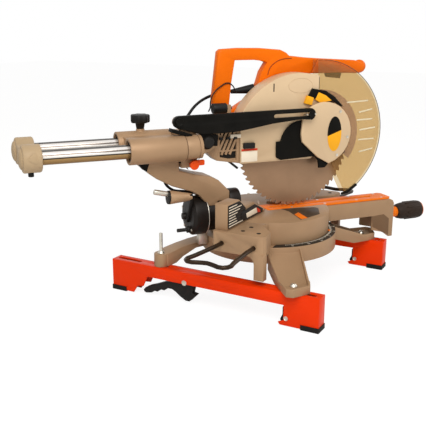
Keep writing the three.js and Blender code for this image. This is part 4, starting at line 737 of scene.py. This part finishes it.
bar(
    "arm_cover", (-0.0262, 0.0900, 0.3760), (-0.0206, 0.1170, 0.3845), saw_place, "head",
    cream_ink,
)
for count, y in enumerate((0.100, 0.118, 0.136)):
    bar(
        f"arm_clip_{count + 1}", (-0.0270, y, 0.3735), (-0.0215, y + 0.009, 0.3790), saw_place, "head",
        lever_nylon,
    )
drum(
    "spring_pin", (-0.0150, 0.1060, 0.3110), "head", lever_nylon,
    radius=0.0028, length=0.032, sides=20, edge=0.0006, lean=-0.9,
)

# Upper guard: a thin painted casting over the back of the blade, bolted to the head arm. It has an
# oval boss, a sight slot, a plain cream plate with a red edge, and a black latch.
guard_paint = coated(
    "guard_paint", (0.65, 0.48, 0.30), roughness=0.4,
    metallic=0.1, grain=1300, depth=0.22, mottle=8, spread=0.06,
)
# The sight slot is drawn as a near black bar: painted shade inside the guard.
guard_face = -0.0249
guard_bars = (
    (
        "guard_slot", (-0.0254, 0.0045, 0.4800), (guard_face, 0.0072, 0.4990),
        hole_shade, "dark_casting", 0.0001,
    ),
    (
        "guard_plate", (-0.0256, 0.0465, 0.3165), (guard_face, 0.0885, 0.3420),
        cream_ink, "scale_plate", 0.0003,
    ),
    (
        "guard_plate_edge", (-0.0258, 0.0465, 0.3435), (guard_face, 0.0885, 0.3480),
        red_ink, "orange_paint", 0.0003,
    ),
    (
        "guard_latch", (-0.0330, 0.0560, 0.3500), (-0.0250, 0.0850, 0.3630),
        lever_nylon, "black_plastic", 0.0012,
    ),
    (
        "guard_seam", (-0.0253, -0.1172, 0.4700), (-0.0240, -0.1160, 0.5120),
        dark_paint, "dark_casting", 0.0001,
    ),
)
dressed("upper_guard", guard_paint, edge=0.0010, smooth=40)
bpy.ops.mesh.primitive_torus_add(
    major_radius=0.0300, minor_radius=0.0011, major_segments=80, minor_segments=8,
    location=(-0.0252, -0.066, 0.4925), rotation=facing_side,
)
oval = bpy.context.object
oval.scale = (0.58, 1.08, 0.5)
fitted(oval, "guard_oval", saw_place, "head", guard_paint, smooth=60)
for name, low, high, finish, slot, edge in guard_bars:
    bar(name, low, high, saw_place, "head", finish, edge)

# Arbor cover: a smooth black plate over the blade bolt. The amber and black catch above it frees
# the cover when the blade is changed.
amber_plastic = coated("amber_plastic", (0.88, 0.40, 0.012), roughness=0.35, grain=700)
catch_back = -0.0252
black_corners = ((-85, 467), (-96, 485), (-115, 481), (-103, 459))
amber_low_corners = ((-74, 450), (-81, 468.6), (-98.5, 463), (-93.5, 445))
amber_mid_corners = ((-102.5, 459), (-111.5, 476), (-133.5, 466.6), (-150, 454), (-118.6, 449))
arc_corners = (
    (-112, 481), (-134, 478), (-158.6, 464), (-184, 439), (-180, 437), (-151, 454), (-131, 466.5),
    (-112, 472),
)
dressed("arbor_cover", cover_black, edge=0.0008)
for name, corners, front, finish, slot in (
    ("catch_black", black_corners, -0.0330, cover_black, "black_plastic"),
    ("catch_amber_low", amber_low_corners, -0.0340, amber_plastic, "orange_plastic"),
    ("catch_amber_mid", amber_mid_corners, -0.0320, amber_plastic, "orange_plastic"),
    ("catch_arc", arc_corners, -0.0290, cover_black, "black_plastic"),
):
    outline = [(y * mm, z * mm) for y, z in corners]
    side_plate(name, front, outline, "head", finish, thickness=catch_back - front, edge=0.0010)

# Guard cover: a painted plate on the guard's hub, held by flat headed screws. A long oval plate on
# it is split between black and amber.
hub_y, hub_z = -0.128, 0.370
cover_ring, cover_face, cover_middle = 0.068, -0.0384, 0.375
dressed("guard_cover", guard_paint, edge=0.0008, smooth=40)
for tone, keep_top, finish, slot in (
    ("black", True, cover_black, "black_plastic"), ("amber", False, amber_plastic, "orange_plastic"),
):
    bpy.ops.mesh.primitive_cylinder_add(vertices=64, radius=1, depth=1, location=(0, 0, 0))
    half = bpy.context.object
    half.scale = (0.0430, 0.0195, 0.0009)
    bpy.ops.object.transform_apply(scale=True)
    bpy.ops.object.mode_set(mode="EDIT")
    bpy.ops.mesh.select_all(action="SELECT")
    bpy.ops.mesh.bisect(
        plane_co=(0.002, 0, 0), plane_no=(1, 0.35, 0), use_fill=True,
        clear_inner=keep_top, clear_outer=not keep_top,
    )
    bpy.ops.object.mode_set(mode="OBJECT")
    half.rotation_euler = (0, -math.pi / 2, 0)
    bpy.ops.object.transform_apply(rotation=True)
    half.location = (-0.0383, -0.1575, 0.3725)
    fitted(half, f"badge_{tone}", saw_place, "head", finish, edge=0.0001)
for count, degree in enumerate((55, 130, 190, 235)):
    angle = math.radians(degree)
    centre = (cover_face, hub_y + cover_ring * math.cos(angle), cover_middle + cover_ring * math.sin(angle))
    stud(
        f"cover_screw_{count + 1}", centre, to_left, saw_place, "head", zinc, "zinc_steel",
        radius=0.0036, height=0.0014, sides=18, edge=0.0002,
    )

# Gearbox and motor: the gear case is cast and painted, the motor's shell is orange plastic with
# black bands and brush caps, and bolts to the case.
motor_plastic = coated(
    "motor_plastic", (0.80, 0.145, 0.002), roughness=0.36, grain=650, depth=0.14, spread=0.05, sheen=0.1,
)
motor_y, motor_z, band_radius, brush_x, brush_ring = -0.040, 0.400, 0.0521, 0.1700, 0.0525
dressed("gearbox", cast_paint, edge=0.0012, smooth=40)
dressed("motor_housing", motor_plastic, edge=0.0010, smooth=40)
for count, (x, finish) in enumerate(((0.0780, motor_plastic), (0.1050, cover_black), (0.1560, cover_black))):
    hoop(
        f"motor_band_{count + 1}", (x, motor_y, motor_z), facing_side, "head", finish,
        radius=band_radius, thickness=0.0014, sides=(80, 8),
    )
for count, degree in enumerate((0, 180)):
    out = Vector((0, math.cos(math.radians(degree)), math.sin(math.radians(degree))))
    centre = Vector((brush_x, motor_y, motor_z)) + out * brush_ring
    stud(
        f"brush_cap_{count + 1}", centre, out, saw_place, "head", cover_black, "black_plastic",
        radius=0.0085, height=0.0050, sides=24,
    )

# Carry handle and front grip: glass filled nylon in bright orange, moulded in halves that are
# screwed together. A groove parts the shroud from the loop, drawn as a dark brown strand of painted
# shade. The grip holds a black trigger.
handle_orange = coated(
    "handle_orange", (0.79, 0.143, 0.001), roughness=0.36,
    grain=700, depth=0.1, mottle=10, spread=0.05, sheen=0.1,
)
crease_shade_brown = coated("crease_shade_brown", (0.30, 0.05, 0.006), roughness=0.6)
crease_x = 0.0222
crease = [(-0.0005, 0.5156), (-0.0063, 0.5320), (-0.0221, 0.5459), (-0.0408, 0.5526), (-0.0640, 0.5540)]
handle_screws = ((0.108, 0.562), (0.116, 0.470), (0.020, 0.566), (-0.080, 0.545), (-0.020, 0.470))


def meshed(strand):
    """Makes a strand a mesh, so that it can be fitted as the other pieces are."""
    bpy.ops.object.select_all(action="DESELECT")
    strand.select_set(True)
    bpy.context.view_layer.objects.active = strand
    bpy.ops.object.convert(target="MESH")
    return bpy.context.object


dressed("carry_handle", handle_orange, edge=0.0010, smooth=45)
dressed("front_grip", handle_orange, edge=0.0010, smooth=45)
dome(
    "front_grip_end", (0.0344, -0.2660, 0.5300), "head", handle_orange,
    radius=0.0105, stretch=(1, 1.85, 1.6), sides=36,
)
dressed("trigger", cover_black, edge=0.0006)
dressed("lock_button", cover_black, edge=0.0006)
groove = cable("handle_crease", [(crease_x, y, z) for y, z in crease], 0.0011, fineness=2)
fitted(meshed(groove), "handle_crease", saw_place, "head", crease_shade_brown, smooth=60)
# The handle's screws are drawn near black: painted shade in their wells.
for count, (y, z) in enumerate(handle_screws):
    stud(
        f"handle_screw_{count + 1}", (0.0466, y, z), (1, 0, 0), saw_place, "head", hole_shade,
        "dark_casting", radius=0.0042, height=0.0014, sides=18, edge=0.0002,
    )

# Depth stop, strain relief and leads: the knob turns on its threaded rod, the lead leaves the
# motor through a tapered sleeve, and a thin wire loops over it into the carry handle.
thin_wire = [
    (0.0060, 0.1600, 0.4370), (0.0080, 0.1555, 0.4435), (0.0120, 0.1516, 0.4620), (0.0170, 0.1402, 0.4802),
    (0.0190, 0.1224, 0.4935), (0.0200, 0.1045, 0.5000), (0.0205, 0.0916, 0.4925), (0.0240, 0.0837, 0.4800),
    (0.0340, 0.0780, 0.4790), (0.0440, 0.0740, 0.4785),
]
dressed("depth_knob", lever_nylon, edge=0.0010)
dressed("strain_relief", cord_rubber, edge=0.0006, smooth=60)
dressed("head_lead", cord_rubber, smooth=60)
strand = cable("laser_wire", thin_wire, 0.0015, fineness=3)
fitted(meshed(strand), "laser_wire", saw_place, "head", cord_rubber, smooth=60)

# Lower guard: two smoked clear plates with a rim between them, turning on the hub. Raised ribs
# stiffen the plate and are drawn paler and more solid than it, a painted highlight; a darker ring
# lies round the hub, a thin dark bead of painted shade lines the outer edge, and a black bumper ends
# the rim.
ring_outer, ring_width, ring_back, ring_lean = 0.110, 0.032, -0.0146, math.radians(-18)
edge_radius, edge_thickness, edge_back = 0.1806, 0.0008, -0.0142
rib_ends = [
    ((0.2041, 0.4453), (0.2660, 0.4480)), ((0.2408, 0.4191), (0.2802, 0.4262)),
    ((0.2358, 0.3999), (0.2819, 0.4011)), ((0.2458, 0.3744), (0.2920, 0.3790)),
    ((0.2432, 0.3494), (0.2898, 0.3502)), ((0.2473, 0.3183), (0.2874, 0.3248)),
]
guard_rib_front, guard_rib_back, guard_rib_half = -0.0156, -0.0138, 0.0017
bumper = [
    (-0.2485, 0.2300), (-0.2440, 0.2350), (-0.2170, 0.2180), (-0.2020, 0.2130), (-0.2020, 0.2090),
    (-0.2200, 0.2110),
]


def clear(name, tint, colour, share):
    """Clear plastic: light passes with a tint, and a small share of it meets a glossy skin."""
    made = coated(name, colour, roughness=0.16, grain=120, depth=0.05, mottle=12, spread=0.1, sheen=0.5)
    nodes, links = made.node_tree.nodes, made.node_tree.links
    through = nodes.new("ShaderNodeBsdfTransparent")
    through.inputs["Color"].default_value = (*tint, 1)
    skin = nodes.new("ShaderNodeMixShader")
    skin.inputs["Fac"].default_value = share
    links.new(through.outputs["BSDF"], skin.inputs[1])
    links.new(nodes["Principled BSDF"].outputs["BSDF"], skin.inputs[2])
    links.new(skin.outputs["Shader"], nodes["Material Output"].inputs["Surface"])
    return made


def trimmed(*cuts):
    """Cuts the active mesh along planes, each with the side to drop, and closes the cuts."""
    for plane_co, plane_no, drop_inner in cuts:
        bpy.ops.mesh.select_all(action="SELECT")
        bpy.ops.mesh.bisect(
            plane_co=plane_co, plane_no=plane_no, use_fill=True, clear_inner=drop_inner,
            clear_outer=not drop_inner,
        )
    bpy.ops.object.mode_set(mode="OBJECT")


smoked = clear("smoked_clear", (0.915, 0.835, 0.685), (0.60, 0.42, 0.20), 0.10)
smoked_dark = clear("smoked_ring", (0.88, 0.80, 0.76), (0.42, 0.27, 0.18), 0.3)
# The ribs are a paler, more solid clear than the plate: a painted highlight along them.
rib_highlight_clear = clear("rib_highlight_clear", (0.95, 0.92, 0.85), (0.86, 0.77, 0.56), 0.8)
# A dark brown clear for the outer edge's bead: painted shade where the clear rim's edge looks dark.
rim_shade_brown = clear("rim_shade_brown", (0.30, 0.24, 0.16), (0.10, 0.07, 0.045), 0.6)
dressed("lower_guard", smoked, edge=0.0004, smooth=30)
bpy.ops.mesh.primitive_cylinder_add(vertices=96, radius=ring_outer, depth=0.0008, location=(0, 0, 0))
ring = bpy.context.object
bpy.ops.object.mode_set(mode="EDIT")
bpy.ops.mesh.select_mode(type="FACE")
bpy.ops.mesh.select_all(action="DESELECT")
bpy.ops.object.mode_set(mode="OBJECT")
for face in ring.data.polygons:
    face.select = abs(face.normal.z) > 0.9
bpy.ops.object.mode_set(mode="EDIT")
bpy.ops.mesh.inset(thickness=ring_width)
bpy.ops.mesh.delete(type="FACE")
bpy.ops.mesh.select_mode(type="EDGE")
bpy.ops.mesh.select_non_manifold()
bpy.ops.mesh.bridge_edge_loops()
trimmed(((0, 0, 0), (0, 1, 0), False), ((0, 0, 0), (0.574, -0.819, 0), True))
ring.rotation_euler = (0, -math.pi / 2, 0)
bpy.ops.object.transform_apply(rotation=True)
ring.rotation_euler = (ring_lean, 0, 0)
ring.location = (ring_back, hub_y, hub_z)
fitted(ring, "guard_ring", saw_place, "lower_guard", smoked_dark, smooth=40)
bpy.ops.mesh.primitive_torus_add(
    major_radius=edge_radius, minor_radius=edge_thickness, major_segments=180, minor_segments=8,
    location=(edge_back, hub_y, hub_z), rotation=facing_side,
)
outer_edge = bpy.context.object
bpy.ops.object.transform_apply(location=True, rotation=True)
bpy.ops.object.mode_set(mode="EDIT")
trimmed(((0, hub_y, hub_z), (0, -0.866, 0.5), True), ((0, hub_y + 0.0095, hub_z), (0, 1, 0), False))
fitted(outer_edge, "guard_edge", saw_place, "lower_guard", rim_shade_brown, smooth=60)
for count, ((s0, z0), (s1, z1)) in enumerate(rib_ends):
    half = math.hypot(s1 - s0, z1 - z0) / 2
    y, z = -(s0 + s1) / 2, (z0 + z1) / 2
    bar(
        f"guard_rib_{count + 1}", (guard_rib_front, y - half, z - guard_rib_half),
        (guard_rib_back, y + half, z + guard_rib_half), saw_place, "lower_guard", rib_highlight_clear,
        edge=0.0007, turn=(-math.atan2(z1 - z0, s1 - s0), 0, 0),
    )
side_plate(
    "guard_bumper", -0.0152, bumper, "lower_guard", cover_black, thickness=0.0060,
    edge=0.0010,
)

# Blade and arbor: a ground steel disc with rings from the grinder, on a blackened arbor between
# two flanges.
blade_steel = coated(
    "blade_steel", (0.34, 0.212, 0.127), roughness=0.34,
    metallic=0.55, grain=60, depth=0.02, mottle=9, spread=0.16,
)
blade_centre = saw_place @ Vector((0, -0.066, 0.3456))
nodes, links = blade_steel.node_tree.nodes, blade_steel.node_tree.links
spot = next(node for node in nodes if node.type == "TEX_COORD")
bore = nodes.new("ShaderNodeMapping")
bore.inputs["Location"].default_value = -blade_centre
rings = nodes.new("ShaderNodeTexWave")
rings.wave_type = "RINGS"
rings.rings_direction = "SPHERICAL"
rings.inputs["Scale"].default_value = 120
rings.inputs["Distortion"].default_value = 1.5
links.new(spot.outputs["Object"], bore.inputs["Vector"])
links.new(bore.outputs["Vector"], rings.inputs["Vector"])
links.new(rings.outputs["Fac"], next(node for node in nodes if node.type == "BUMP").inputs["Height"])
dressed("blade", blade_steel)
dressed("arbor", dark_paint, edge=0.0006)

# Studio: a pale floor, a large soft lamp high above the camera and a weaker one on the saw's right
# side, in a plain white room.
floor_size, floor_drop = 16, 0.0004
lamps = (("key", (-1.5, -0.9, 1.9), 1.5, 45), ("fill", (1.4, -1.6, 1.2), 1.6, 10))
lamp_aim = Vector((0, 0, 0.25))
bpy.ops.mesh.primitive_plane_add(size=floor_size, location=(0, 0, -floor_drop))
floor = bpy.context.object
floor.name = "studio_floor"
floor_white = bpy.data.materials.new("floor_white")
floor_white.use_nodes = True
nodes, links = floor_white.node_tree.nodes, floor_white.node_tree.links
nodes["Principled BSDF"].inputs["Base Color"].default_value = (0.86, 0.86, 0.86, 1)
nodes["Principled BSDF"].inputs["Roughness"].default_value = 0.9
glow = nodes.new("ShaderNodeEmission")
glow.inputs["Strength"].default_value = 1.12
rays = nodes.new("ShaderNodeLightPath")
share = nodes.new("ShaderNodeMath")
share.operation = "MULTIPLY"
share.inputs[1].default_value = 0.8
blend = nodes.new("ShaderNodeMixShader")
links.new(rays.outputs["Is Camera Ray"], share.inputs[0])
links.new(share.outputs["Value"], blend.inputs["Fac"])
links.new(nodes["Principled BSDF"].outputs["BSDF"], blend.inputs[1])
links.new(glow.outputs["Emission"], blend.inputs[2])
links.new(blend.outputs["Shader"], nodes["Material Output"].inputs["Surface"])
floor.data.materials.append(floor_white)
floor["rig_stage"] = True
room = bpy.data.worlds.new("white_room")
bpy.context.scene.world = room
room.use_nodes = True
nodes, links = room.node_tree.nodes, room.node_tree.links
sky = nodes["Background"]
sky.inputs["Color"].default_value = (1, 0.985, 0.965, 1)
sky.inputs["Strength"].default_value = 0.45
seen = nodes.new("ShaderNodeBackground")
seen.inputs["Color"].default_value = (1, 1, 1, 1)
seen.inputs["Strength"].default_value = 1.0
rays = nodes.new("ShaderNodeLightPath")
either = nodes.new("ShaderNodeMath")
either.operation = "MAXIMUM"
any_of = nodes.new("ShaderNodeMath")
any_of.operation = "MAXIMUM"
pick = nodes.new("ShaderNodeMixShader")
links.new(rays.outputs["Is Camera Ray"], either.inputs[0])
links.new(rays.outputs["Is Transmission Ray"], either.inputs[1])
links.new(either.outputs["Value"], any_of.inputs[0])
links.new(rays.outputs["Is Glossy Ray"], any_of.inputs[1])
links.new(any_of.outputs["Value"], pick.inputs["Fac"])
links.new(sky.outputs["Background"], pick.inputs[1])
links.new(seen.outputs["Background"], pick.inputs[2])
links.new(pick.outputs["Shader"], nodes["World Output"].inputs["Surface"])
for name, place, size, power in lamps:
    bpy.ops.object.light_add(type="AREA", location=place)
    lamp = bpy.context.object
    lamp.name = name
    lamp.data.size = size
    lamp.data.energy = power
    lamp.data.color = (1, 0.97, 0.93)
    lamp.rotation_euler = (lamp_aim - Vector(place)).to_track_quat("-Z", "Y").to_euler()
bpy.context.scene.view_settings.view_transform = "Standard"

low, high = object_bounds()
